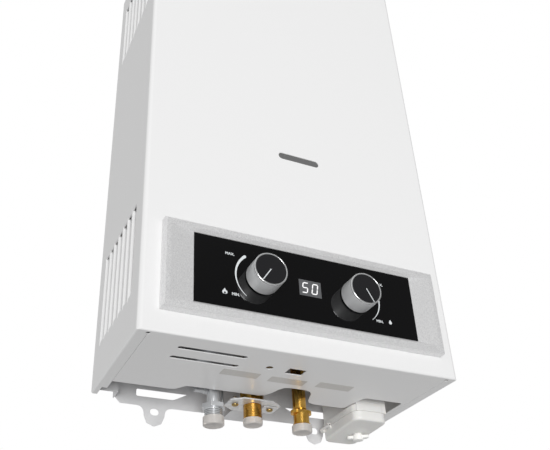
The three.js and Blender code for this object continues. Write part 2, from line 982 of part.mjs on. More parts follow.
const turn_forward = [Math.PI / 2, 0, 0];
const gas_spindle_end = gas_valve.front;
const water_spindle_end = water_valve.front;
for (const [name, side, end] of [['gas', -1, gas_spindle_end], ['water', 1, water_spindle_end]]) {
  const x = (side * knob.spacing) / 2;
  const reach = end - knob_back;
  const seat = [x, knob_back, knob.height];
  place(`${name}_knob`, knobBody(), finishes.satin_metal, seat, turn_forward);
  place(`${name}_knob_insert`, knobInsert(), finishes.dark_plastic, seat, turn_forward);
  place(`${name}_spindle`, spindleShape(reach), finishes.brass, seat, turn_forward);
}

function spindleBore(side, front, end) {
  const radius = spindle.radius + running;
  return rodY(radius, front - overrun, end + overrun, (side * knob.spacing) / 2, knob.height, small_sides);
}

// Gas side: inlet, valve, solenoid, riser and manifold

function capShape(size) {
  const inner = size.thread_radius + clearance;
  const bevel = cap_wall;
  return revolve([
    [0, size.cap_bottom],
    [size.cap_radius - bevel, size.cap_bottom],
    [size.cap_radius, size.cap_bottom + bevel],
    [size.cap_radius, size.cap_top],
    [inner, size.cap_top],
    [inner, size.cap_bottom + cap_wall],
    [0, size.cap_bottom + cap_wall],
  ]);
}

function gasInlet() {
  const stem = rodZ(gas.stem_radius, gas.hex_bottom, gas.stem_top - clearance);
  const hex = hexagon(gas.hex_flats, gas.hex_bottom, gas.hex_top);
  const thread = rodZ(gas.thread_radius, gas.thread_end, gas.hex_bottom);
  const bore = rodZ(gas.bore_radius, gas.thread_end - overrun, gas.hex_top, 0, 0, small_sides);
  return cut(join([stem, hex, thread]), [bore]);
}
place('gas_inlet', gasInlet(), finishes.aluminium, [gas.x, gas.y, 0]);
place('gas_inlet_cap', capShape(gas), finishes.cap_plastic, [gas.x, gas.y, 0]);

const rod_low = gas.hex_top + clearance;
const rod_high = gas_valve.low - clearance;
const tie_rod_shape = rodZ(tie_rod.radius, rod_low, rod_high, 0, 0, small_sides);
const tie_rod_seat = [gas.x + tie_rod.x + clearance, gas.y + tie_rod.y, 0];
place('inlet_tie_rod', tie_rod_shape, finishes.stainless, tie_rod_seat);

const tap_start = gas.x - gas.stem_radius - clearance;
const tap_shape = join([
  rodX(tap.radius, -tap.length, 0, 0, 0, small_sides),
  rodX(tap.hex_flats / Math.sqrt(3), -tap.hex, 0, 0, 0, 6),
]);
place('pressure_tap', tap_shape, finishes.aluminium, [tap_start, gas.y, tap.z]);

function gasValve() {
  const { left, right, front, back, low, high, corner, foot_low, foot_high } = gas_valve;
  const knob_x = -knob.spacing / 2;
  const body = extrudeY(rounded(left, right, low, high, corner), front, back);
  const boss = rodY(gas_valve.boss_radius, gas_valve.boss_front, front + corner, knob_x, knob.height);
  const foot = block(left, right, back - corner, plate_front - clearance, foot_low, foot_high);
  const neck = rodZ(gas_valve.neck_radius, high - corner, gas_valve.neck_top, knob_x, gas_valve.neck_y);
  const side = rodX(gas_valve.link_radius, right - corner, right + gas_valve.link_reach, link.y, link.z);
  const inlet = rodZ(gas.stem_radius + clearance, low - overrun, gas.stem_top, gas.x, gas.y);
  const rod_hole = rodX(
    push_rod.radius + running,
    right - push_rod.in_valve - push_rod.travel,
    right + gas_valve.link_reach + overrun,
    link.y,
    link.z,
    small_sides,
  );
  return cut(join([body, boss, foot, neck, side]), [
    inlet,
    rod_hole,
    spindleBore(-1, gas_valve.boss_front, gas_spindle_end),
  ]);
}
place('gas_valve', gasValve(), finishes.aluminium);

const solenoid_shape = join([
  rodX(solenoid.radius, -solenoid.length, 0),
  rodX(solenoid.cap_radius, -solenoid.length - solenoid.cap_length, -solenoid.length),
]);
const solenoid_seat = [gas_valve.left - clearance, solenoid.y, solenoid.z];
place('solenoid_valve', solenoid_shape, finishes.stainless, solenoid_seat);

const riser_x = -knob.spacing / 2;
const riser_top = manifold_bar.z - manifold_bar.radius - clearance;
const riser_start = gas_valve.neck_top + clearance;
const riser_shape = pipe([
  [riser_x, gas_valve.neck_y, riser_start],
  [riser_x, gas_valve.neck_y, riser.turn_low],
  [riser_x, manifold_bar.y, riser.turn_high],
  [riser_x, manifold_bar.y, riser_top],
], pipe_radius, pipe_bend);
place('gas_riser', riser_shape, finishes.aluminium);

const bar_reach = chamber_half - burner.margin - burner.bar_width / 2;
const bar_pitch = (2 * bar_reach) / (burner.bars - 1);

function barX(i) {
  return (i - (burner.bars - 1) / 2) * bar_pitch;
}
const bar_numbers = Array.from({ length: burner.bars }, (_, i) => i);

function gasManifold() {
  const reach = barX(burner.bars - 1) + burner.bar_width / 2;
  const tube = rodX(manifold_bar.radius, -reach, reach, manifold_bar.y, manifold_bar.z, small_sides);
  const nozzles = bar_numbers.map((i) => rodY(
    manifold_bar.nozzle_radius,
    manifold_bar.y,
    burner.front - clearance,
    barX(i),
    manifold_bar.z,
    small_sides / 2,
  ));
  return join([tube, ...nozzles]);
}
place('gas_manifold', gasManifold(), finishes.aluminium);

// Burner: slotted bars on two rails between side plates that hang from the chamber

function burnerShape() {
  const { bar_width, front, back, low, high, venturi, rail, rail_low, rail_high, side } = burner;
  const end = chamber_half - chamber.sheet;
  const bars = bar_numbers.flatMap((i) => [
    block(barX(i) - bar_width / 2, barX(i) + bar_width / 2, front, back, rail_low, high),
    rodY(venturi, front, back, barX(i), low + venturi, coil_sides),
    block(barX(i) - venturi / 2, barX(i) + venturi / 2, front, back, low + venturi, rail_low + rail),
  ]);
  const slots = bar_numbers.map((i) => block(
    barX(i) - venturi / 4,
    barX(i) + venturi / 4,
    front + rail,
    back - rail,
    high - rail,
    high + overrun,
  ));
  const rails = [front, back - rail].map((y) => block(-end, end, y, y + rail, rail_low, rail_high));
  const plates = [-1, 1].map((s) => {
    const x = [s * end, s * (end + side)].sort((a, b) => a - b);
    return block(x[0], x[1], front, back, rail_low, chamber.low - clearance);
  });
  return cut(join([...bars, ...rails, ...plates]), slots);
}
place('burner', burnerShape(), finishes.stainless);

function electrodeShape() {
  return join([
    rodZ(electrode.radius, electrode.low, electrode.high, 0, 0, small_sides),
    rodZ(electrode.tip_radius, electrode.high, electrode.high + electrode.tip, 0, 0, small_sides / 2),
  ]);
}
const electrode_y = burner.front - clearance - electrode.radius;
place('spark_electrode', electrodeShape(), finishes.ceramic, [bar_pitch, electrode_y, 0]);
place('flame_probe', electrodeShape(), finishes.ceramic, [-bar_pitch, electrode_y, 0]);

// Water side: cold inlet, flow valve with its diaphragm, and the rod that opens the gas valve

function coldInlet() {
  const column_top = water_valve.low - clearance;
  const column = rodZ(cold.column_radius, cold.column_bottom, column_top, -cold.column_shift);
  const neck = rodZ(cold.neck_radius, cold.ear_top - clearance, cold.column_bottom + clearance);
  const ears = extrudeZ(oblong(0, 0, cold.ear_span, cold.ear_width), cold.ear_bottom, cold.ear_top);
  const turned = revolve([
    [cold.bore_radius, cold.ear_bottom],
    [cold.bore_radius, cold.thread_end],
    [cold.thread_radius, cold.thread_end],
    [cold.thread_radius, cold.collar_bottom],
    [cold.collar_radius, cold.collar_bottom],
    [cold.collar_radius, cold.ear_bottom],
    [cold.bore_radius, cold.ear_bottom],
  ]);
  return join([column, neck, ears, turned]);
}
place('cold_inlet', coldInlet(), finishes.brass, [cold.x, cold.y, 0]);
place('cold_inlet_cap', capShape(cold), finishes.cap_plastic, [cold.x, cold.y, 0]);

const outlet_end = water_valve.right + water_valve.outlet_length;

function waterValve() {
  const { right, front, back, low, high, corner } = water_valve;
  const knob_x = knob.spacing / 2;
  const disc_right = diaphragm.split + water_valve.disc;
  const disc = rodX(diaphragm.radius, diaphragm.split, disc_right, link.y, link.z);
  const body = extrudeY(rounded(disc_right - clearance, right, low, high, corner), front, back);
  const boss = rodY(water_valve.boss_radius, water_valve.boss_front, front + corner, knob_x, knob.height);
  const outlet = rodX(water_valve.outlet_radius, right - corner, outlet_end, link.y, water_valve.outlet_z);
  return cut(join([disc, body, boss, outlet]), [spindleBore(1, water_valve.boss_front, water_spindle_end)]);
}
place('water_valve', waterValve(), finishes.brass);

const cover_right = diaphragm.split - clearance;
const cover_left = cover_right - diaphragm.cover_thick;
const link_end = gas_valve.right + gas_valve.link_reach + clearance;

function diaphragmCover() {
  const disc = rodX(diaphragm.radius, cover_left, cover_right, link.y, link.z);
  const neck = rodX(diaphragm.neck_radius, link_end, cover_left + clearance, link.y, link.z);
  const recess_left = cover_right - diaphragm.recess;
  const recess = rodX(diaphragm.recess_radius, recess_left, cover_right + overrun, link.y, link.z);
  const bore = rodX(
    push_rod.radius + running,
    link_end - overrun,
    cover_right,
    link.y,
    link.z,
    small_sides,
  );
  return cut(join([disc, neck]), [recess, bore]);
}
place('diaphragm_cover', diaphragmCover(), finishes.brass);

function pushRod() {
  const plate_right = cover_right - clearance;
  const plate = rodX(push_rod.plate_radius, plate_right - push_rod.plate, plate_right);
  const rod_left = gas_valve.right - push_rod.in_valve + clearance;
  const rod = rodX(push_rod.radius, rod_left, plate_right, 0, 0, small_sides);
  return join([plate, rod]);
}
place('push_rod', pushRod(), finishes.stainless, [0, link.y, link.z]);

const switch_low = link.z + diaphragm.neck_radius + clearance;
const switch_shape = block(
  link_end + clearance,
  cover_left - clearance,
  link.y - microswitch.width / 2,
  link.y + microswitch.width / 2,
  switch_low,
  switch_low + microswitch.height,
);
place('microswitch', switch_shape, finishes.dark_plastic);

// Hot outlet: brass fitting through the frame's bracket, held by a two-screw flange

function hotOutlet() {
  const shoulder = bracket_top + clearance;
  const hex = hexagon(hot.hex_flats, shoulder, hot.hex_top);
  const neck = rodZ(hot.neck_radius, hot.hex_top - clearance, hot.neck_top);
  const thread = rodZ(hot.thread_radius, hot.thread_end, shoulder + clearance);
  const relief_front = -hot.hex_flats / 2 - relief.boss;
  const boss = rodY(relief.radius, relief_front, 0, relief.x, relief.z - clearance, small_sides);
  const bore = rodZ(hot.bore_radius, hot.thread_end - overrun, shoulder, 0, 0, small_sides);
  return cut(join([hex, neck, thread, boss]), [bore]);
}
place('hot_outlet', hotOutlet(), finishes.brass, [hot.x, hot.y, 0]);
place('hot_outlet_cap', capShape(hot), finishes.cap_plastic, [hot.x, hot.y, 0]);

const relief_back = hot.y - hot.hex_flats / 2 - relief.boss - clearance;
const relief_shape = rodY(relief.radius + clearance, -relief.length, 0, 0, 0, small_sides);
place('relief_cap', relief_shape, finishes.dark_plastic, [hot.x + relief.x, relief_back, relief.z]);

function flangeScrewHoles(low, high) {
  return [-1, 1].map((side) => rodZ(
    flange_screw.shank_radius + clearance,
    low - overrun,
    high + overrun,
    (side * flange.screw_spacing) / 2,
    0,
    small_sides,
  ));
}

function outletFlange() {
  const { half_length: a, half_width: b, corner_x, corner_y, top, thick } = flange;
  const outline = polygon([
    [-a, corner_y - b],
    [corner_x - a, -b],
    [a - corner_x, -b],
    [a, corner_y - b],
    [a, b - corner_y],
    [a - corner_x, b],
    [corner_x - a, b],
    [-a, b - corner_y],
  ]);
  const plate = extrudeZ(outline, top - thick, top);
  const pass = rodZ(hot.thread_radius + clearance, top - thick - overrun, top + overrun);
  return cut(plate, [pass, ...flangeScrewHoles(top - thick, top)]);
}
place('outlet_flange', outletFlange(), finishes.zinc_plate, [hot.x, hot.y, 0]);

const clip_top = flange.top - flange.thick - clearance;
const clip_low = clip_top - clip.thick;
const clip_shape = cut(
  block(clip.inner, clip.outer, -clip.front, clip.back, clip_low, clip_top),
  flangeScrewHoles(clip_low, clip_top),
);
place('flange_clip', clip_shape, finishes.zinc_plate, [hot.x, hot.y, 0]);

const screw_seats = [
  ['outlet_screw_left', -1, flange.top - flange.thick],
  ['outlet_screw_right', 1, clip_low],
];
for (const [name, side, seat] of screw_seats) {
  const { head_radius, head, shank_radius, length } = flange_screw;
  const at = [hot.x + (side * flange.screw_spacing) / 2, hot.y, seat - clearance - head];
  place(name, screw(head_radius, head, shank_radius, length), finishes.brass, at);
}

// Heat exchanger: copper chamber, the coil round it, and the fin block on top

function chamberPlan(inset) {
  const half = chamber_half - inset;
  return rounded(-half, half, chamber.front + inset, chamber.back - inset, chamber.corner - inset);
}

function combustionChamber() {
  const { back, low, high, sheet } = chamber;
  const shell = extrudeZ(chamberPlan(0), low, high);
  const inside = extrudeZ(chamberPlan(sheet), low - overrun, high + overrun);
  const ears = [-1, 1].flatMap((side) => [chamber.ear_low, chamber.ear_high].map((z) => {
    const outer = chamber_half - chamber.ear_inset;
    const x = [side * (outer - chamber.ear_width), side * outer].sort((a, b) => a - b);
    return block(x[0], x[1], back - sheet, plate_front - clearance, z, z + sheet);
  }));
  return join([shell.subtract(inside), ...ears]);
}
place('combustion_chamber', combustionChamber(), finishes.copper);

const exchanger_low = chamber.high + clearance;
const exchanger_high = exchanger_low + exchanger.height;
const tube_z = (exchanger_low + exchanger_high) / 2;

function tubeY(i) {
  const depth = chamber.back - chamber.front;
  return chamber.front + (depth * (i + 0.5)) / exchanger.tubes;
}

// The coil winds round the chamber's four walls at a steady climb, then rises to the first fin tube
const coil_off = pipe_radius + clearance;
const coil_x = chamber_half + coil_off;
const coil_front = chamber.front - coil_off;
const coil_back = chamber.back + coil_off;
const coil_start_y = coil_front + coil.corner;

function coilCorners() {
  const round = [
    [coil_x, coil_back],
    [-coil_x, coil_back],
    [-coil_x, coil_front],
    [coil_x, coil_front],
  ];
  const corners = [
    [coil_x, coil_start_y, coil.low],
    [coil_x, coil_start_y + coil.corner, coil.low],
  ];
  for (let i = 0; i < coil.turns * round.length; i += 1) {
    const [x, y] = round[i % round.length];
    corners.push([x, y, coil.low + (coil.climb * (i + 1)) / round.length]);
  }
  const end = coil.low + coil.climb * coil.turns;
  corners.push([coil_x, tubeY(0), end + coil.rise]);
  corners.push([coil_x, tubeY(0), tube_z - exchanger.tube_radius - clearance]);
  return corners;
}

const coil_shape = pipe(coilCorners(), pipe_radius, coil.corner, coil_sides);
place('exchanger_coil', coil_shape, finishes.copper);

function heatExchanger() {
  const half = chamber_half;
  const { front, back, sheet } = chamber;
  const shell = extrudeZ(chamberPlan(0), exchanger_low, exchanger_high);
  const inside = extrudeZ(chamberPlan(sheet), exchanger_low - overrun, exchanger_high + overrun);
  const pitch = (2 * half) / (exchanger.fins + 1);
  const fins = Array.from({ length: exchanger.fins }, (_, i) => {
    const x = (i + 1) * pitch - half;
    return block(
      x - exchanger.fin / 2,
      x + exchanger.fin / 2,
      front + sheet / 2,
      back - sheet / 2,
      exchanger_low + sheet,
      exchanger_high - sheet,
    );
  });
  const reach = half + exchanger.tube_reach;
  const tubes = Array.from({ length: exchanger.tubes }, (_, i) =>
    rodX(exchanger.tube_radius, -reach, reach, tubeY(i), tube_z, small_sides / 2));
  return join([shell.subtract(inside), ...fins, ...tubes]);
}
place('heat_exchanger', heatExchanger(), finishes.copper);

// Pipes between the valve, the coil and the hot outlet

const cold_pipe_shape = pipe([
  [outlet_end + clearance, link.y, water_valve.outlet_z],
  [coil_x, link.y, water_valve.outlet_z],
  [coil_x, cold_run.front, cold_run.level],
  [coil_x, cold_run.front, coil.low],
  [coil_x, coil_start_y - clearance, coil.low],
], pipe_radius, pipe_bend);
place('cold_pipe', cold_pipe_shape, finishes.copper);

const hot_run_x = hot_run.side_gap - half_width;
const hot_start_x = -chamber_half - exchanger.tube_reach - clearance;
const hot_pipe_shape = pipe([
  [hot_start_x, hot_run.y, tube_z],
  [hot_run_x, hot_run.y, tube_z],
  [hot_run_x, hot_run.y, hot_run.level],
  [hot.x, hot_run.y, hot_run.over_valve],
  [hot.x, hot_run.y, hot_run.low],
  [hot.x, hot.y, hot_run.joint],
  [hot.x, hot.y, hot.neck_top + clearance],
], pipe_radius, pipe_bend);
place('hot_pipe', hot_pipe_shape, finishes.copper);

// Flue: draught hood and collar

const hood_low = exchanger_high + clearance;
const hood_high = hood_low + hood.height;

function flueHood() {
  const half = half_width - hood.side_gap;
  const { front, back, sheet, lip_inset, lip_front, lip_back } = hood;
  const lip_x = half - lip_inset;
  const inner = half - sheet;
  const shell = block(-half, half, front, back, hood_low, hood_high);
  const inside = block(-inner, inner, front + sheet, back - sheet, hood_low + sheet, hood_high - sheet);
  const mouth = block(-lip_x, lip_x, lip_front, lip_back, hood_low - overrun, hood_low + overrun);
  const outlet = rodZ(collar.radius - collar.sheet, hood_high - overrun, hood_high + overrun, 0, collar.y);
  const vent_low = hood_low + hood.vent_low;
  const vent_high = hood_low + hood.vent_high;
  const vents = block(-half - overrun, half + overrun, hood.vent_front, hood.vent_back, vent_low, vent_high);
  return cut(shell, [inside, mouth, outlet, vents]);
}
place('flue_hood', flueHood(), finishes.zinc_plate);

function flueCollar() {
  const { radius, sheet, top, bead, bead_drop } = collar;
  const base = hood_high + clearance;
  const inner = radius - sheet;
  const bead_z = top - bead_drop;
  return revolve([
    [inner, base],
    [radius + collar.flange, base],
    [radius + collar.flange, base + sheet],
    [radius, base + sheet],
    [radius, bead_z - 2 * bead],
    [radius + bead, bead_z - bead],
    [radius + bead, bead_z + bead],
    [radius, bead_z + 2 * bead],
    [radius, top],
    [inner, top],
    [inner, base],
  ], knob_sides);
}
place('flue_collar', flueCollar(), finishes.zinc_plate, [0, collar.y, 0]);

const hood_sensor = rodY(thermostat.radius, -thermostat.thick, 0, 0, 0, small_sides);
const hood_sensor_x = half_width - hood.side_gap - thermostat.hood_inset;
const hood_sensor_seat = [hood_sensor_x, hood.front - clearance, thermostat.hood_z];
place('spill_thermostat', hood_sensor, finishes.dark_plastic, hood_sensor_seat);
const side_sensor = rodX(thermostat.radius, -thermostat.thick, 0, 0, 0, small_sides);
const side_sensor_x = -chamber_half - clearance;
place('overheat_thermostat', side_sensor, finishes.dark_plastic, [side_sensor_x, tubeY(0.5), tube_z]);

// Ignition: pulse unit on the frame

const igniter_shape = extrudeY(
  rounded(igniter.side_gap - frame.half_width, igniter.right, igniter.low, igniter.high, igniter.corner),
  plate_front - clearance - igniter.depth,
  plate_front - clearance,
);
place('igniter_box', igniter_shape, finishes.dark_plastic);

// Battery box: two cells side by side behind a hinged door with a turn latch

const cell_x = battery_x + battery.bay_shift;
const cell_step = battery.cell_radius + battery.cell_gap / 2;
const bay_half_x = battery.cell_radius + battery.play;
const bay_half_y = 2 * battery.cell_radius + battery.cell_gap / 2 + battery.play;
const cell_top = battery.cell_bottom + battery.cell_length;
const bay_top = cell_top + battery.nub + battery.contact + 2 * clearance;
const hinge_x = -battery.collar_width / 2 - clearance - hinge.radius;
const door_top = battery.split - clearance;
const hinge_z = battery.split - clearance / 2;
const door_floor = battery.front_bottom + battery.wall;
const latch_face = battery.rear_bottom;

function collarPlan(inset) {
  const half_x = battery.collar_width / 2 - inset;
  const half_y = battery.collar_length / 2 - inset;
  return rounded(-half_x, half_x, -half_y, half_y, battery.corner - inset);
}

function batteryBox() {
  const { wall, split, collar_top } = battery;
  const rim = extrudeZ(collarPlan(0), split, collar_top);
  const { bay_wall, bay_shift } = battery;
  const tower = block(
    bay_shift - bay_half_x - bay_wall,
    bay_shift + bay_half_x + bay_wall,
    -bay_half_y - bay_wall,
    bay_half_y + bay_wall,
    split,
    bay_top + bay_wall,
  );
  const bay = block(
    bay_shift - bay_half_x,
    bay_shift + bay_half_x,
    -bay_half_y,
    bay_half_y,
    split - overrun,
    bay_top,
  );
  const ear_x = bay_half_x - battery.ear_inset;
  const ears = block(
    -ear_x,
    ear_x,
    bay_half_y,
    plate_front - clearance - battery.y,
    battery.ear_low,
    battery.ear_high,
  );
  const front = hinge.y - hinge.middle;
  const back = hinge.y + hinge.middle;
  const knuckle = rodY(hinge.radius, front, back, hinge_x, hinge_z, small_sides);
  const web = block(
    hinge_x,
    wall - battery.collar_width / 2,
    front,
    back,
    hinge_z + hinge.pin_radius + running,
    hinge_z + 2 * hinge.radius,
  );
  const pin_bore = rodY(
    hinge.pin_radius + running,
    front - overrun,
    back + overrun,
    hinge_x,
    hinge_z,
    small_sides,
  );
  return cut(join([rim, tower, ears, knuckle, web]), [bay, pin_bore]);
}
place('battery_box', batteryBox(), finishes.white_plastic, [battery_x, battery.y, 0]);

// The door's underside slopes down towards the wall
function batteryDoor() {
  const { wall, front_bottom, rear_bottom } = battery;
  const half_x = battery.collar_width / 2;
  const half_y = battery.collar_length / 2;
  const tray = extrudeZ(collarPlan(0), rear_bottom, door_top);
  const below = extrudeX(polygon([
    [-half_y, front_bottom],
    [half_y, rear_bottom],
    [half_y, rear_bottom - overrun],
    [-half_y, rear_bottom - overrun],
  ]), -half_x, half_x);
  const hollow = extrudeZ(collarPlan(wall), door_floor, door_top + overrun);
  const boss = rodZ(latch.hub_radius, latch_face, door_floor, latch.x, latch.y, small_sides);
  const knuckles = [-1, 1].flatMap((side) => {
    const ends = [side * (hinge.middle + clearance), side * hinge.half_span].sort((a, b) => a - b);
    const [front, back] = ends.map((end) => hinge.y + end);
    const low = hinge_z - 2 * hinge.radius;
    const high = hinge_z - hinge.pin_radius - running;
    return [
      rodY(hinge.radius, front, back, hinge_x, hinge_z, small_sides),
      block(hinge_x, wall / 2 - half_x, front, back, low, high),
    ];
  });
  const stem_radius = latch.stem_radius + running;
  const stem_bore = rodZ(stem_radius, latch_face - overrun, door_top, latch.x, latch.y, small_sides);
  const pin_bore = rodY(
    hinge.pin_radius + running,
    hinge.y - hinge.half_span - overrun,
    hinge.y + hinge.half_span + overrun,
    hinge_x,
    hinge_z,
    small_sides,
  );
  return cut(join([cut(tray, [below, hollow]), boss, ...knuckles]), [stem_bore, pin_bore]);
}
place('battery_door', batteryDoor(), finishes.white_plastic, [battery_x, battery.y, 0]);

const pin_shape = rodY(hinge.pin_radius, -hinge.half_span, hinge.half_span, 0, 0, small_sides);
const pin_seat = [battery_x + hinge_x, battery.y + hinge.y, hinge_z];
place('battery_hinge_pin', pin_shape, finishes.stainless, pin_seat);

// A winged hub below the door and a clip above its floor, on one stem
function batteryLatch() {
  const top = latch_face - clearance;
  const clip_low = door_floor + clearance;
  const hub = revolve([
    [0, top - latch.drop],
    [latch.hub_radius - latch.bevel, top - latch.drop],
    [latch.hub_radius, top - latch.drop + latch.bevel],
    [latch.hub_radius, top],
    [latch.stem_radius, top],
    [latch.stem_radius, clip_low],
    [latch.clip_radius, clip_low],
    [latch.clip_radius, clip_low + latch.clip],
    [0, clip_low + latch.clip],
  ], small_sides);
  const wings = extrudeZ(oblong(0, 0, latch.wing_length, latch.wing_width), top - latch.wing_drop, top);
  return join([hub, wings]);
}
const latch_seat = [battery_x + latch.x, battery.y + latch.y, 0];
const latch_turn = [0, 0, THREE.MathUtils.degToRad(latch.rest_angle)];
place('battery_latch', batteryLatch(), finishes.white_plastic, latch_seat, latch_turn);

const cell_shape = join([
  rodZ(battery.cell_radius, battery.cell_bottom, cell_top),
  rodZ(battery.nub_radius, cell_top, cell_top + battery.nub, 0, 0, small_sides),
]);
place('battery_cell_front', cell_shape, finishes.stainless, [cell_x, battery.y - cell_step, 0]);
place('battery_cell_rear', cell_shape, finishes.stainless, [cell_x, battery.y + cell_step, 0]);

const top_contact_low = cell_top + battery.nub + clearance;
const top_contact_shape = block(
  -battery.nub_radius,
  battery.nub_radius,
  -cell_step - battery.nub_radius,
  cell_step + battery.nub_radius,
  top_contact_low,
  top_contact_low + battery.contact,
);
place('battery_contact', top_contact_shape, finishes.brass, [cell_x, battery.y, 0]);

// The door carries a strip with a conical spring under each cell
function doorContact() {
  const { spring_radius, spring_top_radius, contact, contact_width, cell_bottom } = battery;
  const low = door_floor + clearance;
  const strip = block(
    -spring_radius,
    contact_width - spring_radius,
    -cell_step,
    cell_step,
    low,
    low + contact,
  );
  const height = cell_bottom - clearance - low;
  const springs = [-1, 1].map((side) => {
    const cone = new THREE.CylinderGeometry(spring_top_radius, spring_radius, height, small_sides);
    return solid(cone.rotateX(Math.PI / 2).translate(0, side * cell_step, low + height / 2));
  });
  return join([strip, ...springs]);
}
place('door_contact', doorContact(), finishes.brass, [cell_x, battery.y, 0]);

export default heater;
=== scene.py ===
"""Wall-hung tankless gas water heater: finishes, edge easing and small details over its solids."""

import json
import math

import bmesh
import bpy
from mathutils import Matrix, Vector

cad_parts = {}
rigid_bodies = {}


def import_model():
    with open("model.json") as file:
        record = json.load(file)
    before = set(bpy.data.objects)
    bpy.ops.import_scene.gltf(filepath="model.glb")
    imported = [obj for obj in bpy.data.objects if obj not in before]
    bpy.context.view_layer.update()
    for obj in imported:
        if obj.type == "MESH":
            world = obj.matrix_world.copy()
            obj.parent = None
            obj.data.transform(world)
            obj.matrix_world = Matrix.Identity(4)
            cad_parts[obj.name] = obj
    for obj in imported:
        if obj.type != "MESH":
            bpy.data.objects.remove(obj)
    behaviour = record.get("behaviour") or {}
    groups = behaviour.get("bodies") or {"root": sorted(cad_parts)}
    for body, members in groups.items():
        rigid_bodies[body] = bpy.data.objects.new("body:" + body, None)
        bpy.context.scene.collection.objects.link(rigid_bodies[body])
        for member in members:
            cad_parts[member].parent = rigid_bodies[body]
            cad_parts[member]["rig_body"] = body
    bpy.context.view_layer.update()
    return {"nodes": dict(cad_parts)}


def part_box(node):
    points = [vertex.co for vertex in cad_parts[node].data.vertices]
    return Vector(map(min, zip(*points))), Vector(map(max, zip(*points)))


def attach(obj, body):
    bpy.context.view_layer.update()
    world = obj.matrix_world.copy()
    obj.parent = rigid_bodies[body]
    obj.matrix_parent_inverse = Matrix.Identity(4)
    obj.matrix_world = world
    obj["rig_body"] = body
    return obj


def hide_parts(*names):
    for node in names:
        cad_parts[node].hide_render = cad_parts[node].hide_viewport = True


bl_info = {
    "name": "Tankless gas water heater",
    "version": (1, 0, 0),
    "blender": (4, 5, 0),
    "location": "3D View > Sidebar > Heater",
    "description": "Finishes and details for a wall-hung tankless gas water heater",
    "category": "Object",
}

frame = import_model()

MM = 0.001
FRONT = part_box("glass_panel")[0].y
COVER_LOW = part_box("front_cover")[0]


# Places and meshes


def at(x, y, z):
    """A place given in millimetres from the casing's middle, its front face and its bottom."""
    return Vector((x * MM, COVER_LOW.y + y * MM, COVER_LOW.z + z * MM))


def middle(node):
    """The middle of a solid's box."""
    low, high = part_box(node)
    return (low + high) / 2


def upright(node):
    """The foot, the radius and the height of a solid that is round about Z."""
    low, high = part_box(node)
    foot = (low + high) / 2
    foot.z = low.z
    return foot, (high.x - low.x) / 2, high.z - low.z


def body_of(node):
    """The body that a solid belongs to."""
    return frame["nodes"][node]["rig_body"]


def show(name, mesh, body, finish_name, slot, stands_for=()):
    """Puts a finished mesh in the scene as a piece that rides a body."""
    piece = bpy.data.objects.new(name, mesh)
    bpy.context.scene.collection.objects.link(piece)
    mesh.name = name
    mesh.materials.clear()
    mesh.materials.append(bpy.data.materials[finish_name])
    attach(piece, body)
    if stands_for:
        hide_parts(*stands_for)


def dress(name, mesh, node):
    """Puts a mesh in the place of a solid, with the solid's body and finish."""
    show(name, mesh, body_of(node), *FINISH_OF[node], (node,))


def about(degrees, axis):
    """A turn about an axis."""
    return Matrix.Rotation(math.radians(degrees), 4, axis)


def moved(mesh, way):
    """The mesh, moved by a way."""
    mesh.transform(Matrix.Translation(way))
    return mesh


def smooth(mesh, angle=35):
    """Shades a mesh smoothly, but not across edges sharper than the angle."""
    mesh.shade_smooth()
    mesh.set_sharp_from_angle(angle=math.radians(angle))


def carrier_for(mesh):
    """A working object that carries a mesh while its modifiers run."""
    carrier = bpy.data.objects.new("work", mesh)
    bpy.context.scene.collection.objects.link(carrier)
    return carrier


def settled(carrier):
    """The plain mesh that a carrier's modifiers make. The carrier itself goes."""
    graph = bpy.context.evaluated_depsgraph_get()
    mesh = bpy.data.meshes.new_from_object(carrier.evaluated_get(graph))
    data = carrier.data
    bpy.data.objects.remove(carrier)
    if data.users == 0 and isinstance(data, bpy.types.Mesh):
        bpy.data.meshes.remove(data)
    return mesh


def plain_mesh(form):
    """A mesh from a bmesh, which ends here."""
    mesh = bpy.data.meshes.new("form")
    form.to_mesh(mesh)
    form.free()
    return mesh


def mesh_from(form):
    """A mesh from a bmesh, with its faces turned outwards."""
    bmesh.ops.recalc_face_normals(form, faces=form.faces)
    return plain_mesh(form)


def joined(meshes):
    """One mesh from several."""
    form = bmesh.new()
    for mesh in meshes:
        form.from_mesh(mesh)
        bpy.data.meshes.remove(mesh)
    return plain_mesh(form)


def arc(x, y, radius, start, sweep, steps):
    """Points on a circle about (x, y), from a start over a sweep in degrees."""
    turns = [math.radians(start + sweep * k / steps) for k in range(steps + 1)]
    return [(x + radius * math.cos(turn), y + radius * math.sin(turn)) for turn in turns]


def round_rectangle(low_x, high_x, low_y, high_y, corner, steps, inset=0):
    """The outline of a rectangle with round corners, drawn in by an inset."""
    left, right, near, far = low_x + corner, high_x - corner, low_y + corner, high_y - corner
    outline = []
    for k, (x, y) in enumerate(((right, far), (left, far), (left, near), (right, near))):
        outline += arc(x, y, corner - inset, 90 * k, 90, steps)
    return outline


def band(form, ring, other):
    """Adds the faces between two rings of corners."""
    for k in range(len(ring)):
        n = (k + 1) % len(ring)
        form.faces.new((ring[k], ring[n], other[n], other[k]))


def add_prism(form, first, last):
    """Adds a closed solid between two outlines with as many corners."""
    ends = [[form.verts.new(place) for place in outline] for outline in (first, last)]
    form.faces.new(ends[0])
    form.faces.new(ends[1])
    band(form, *ends)


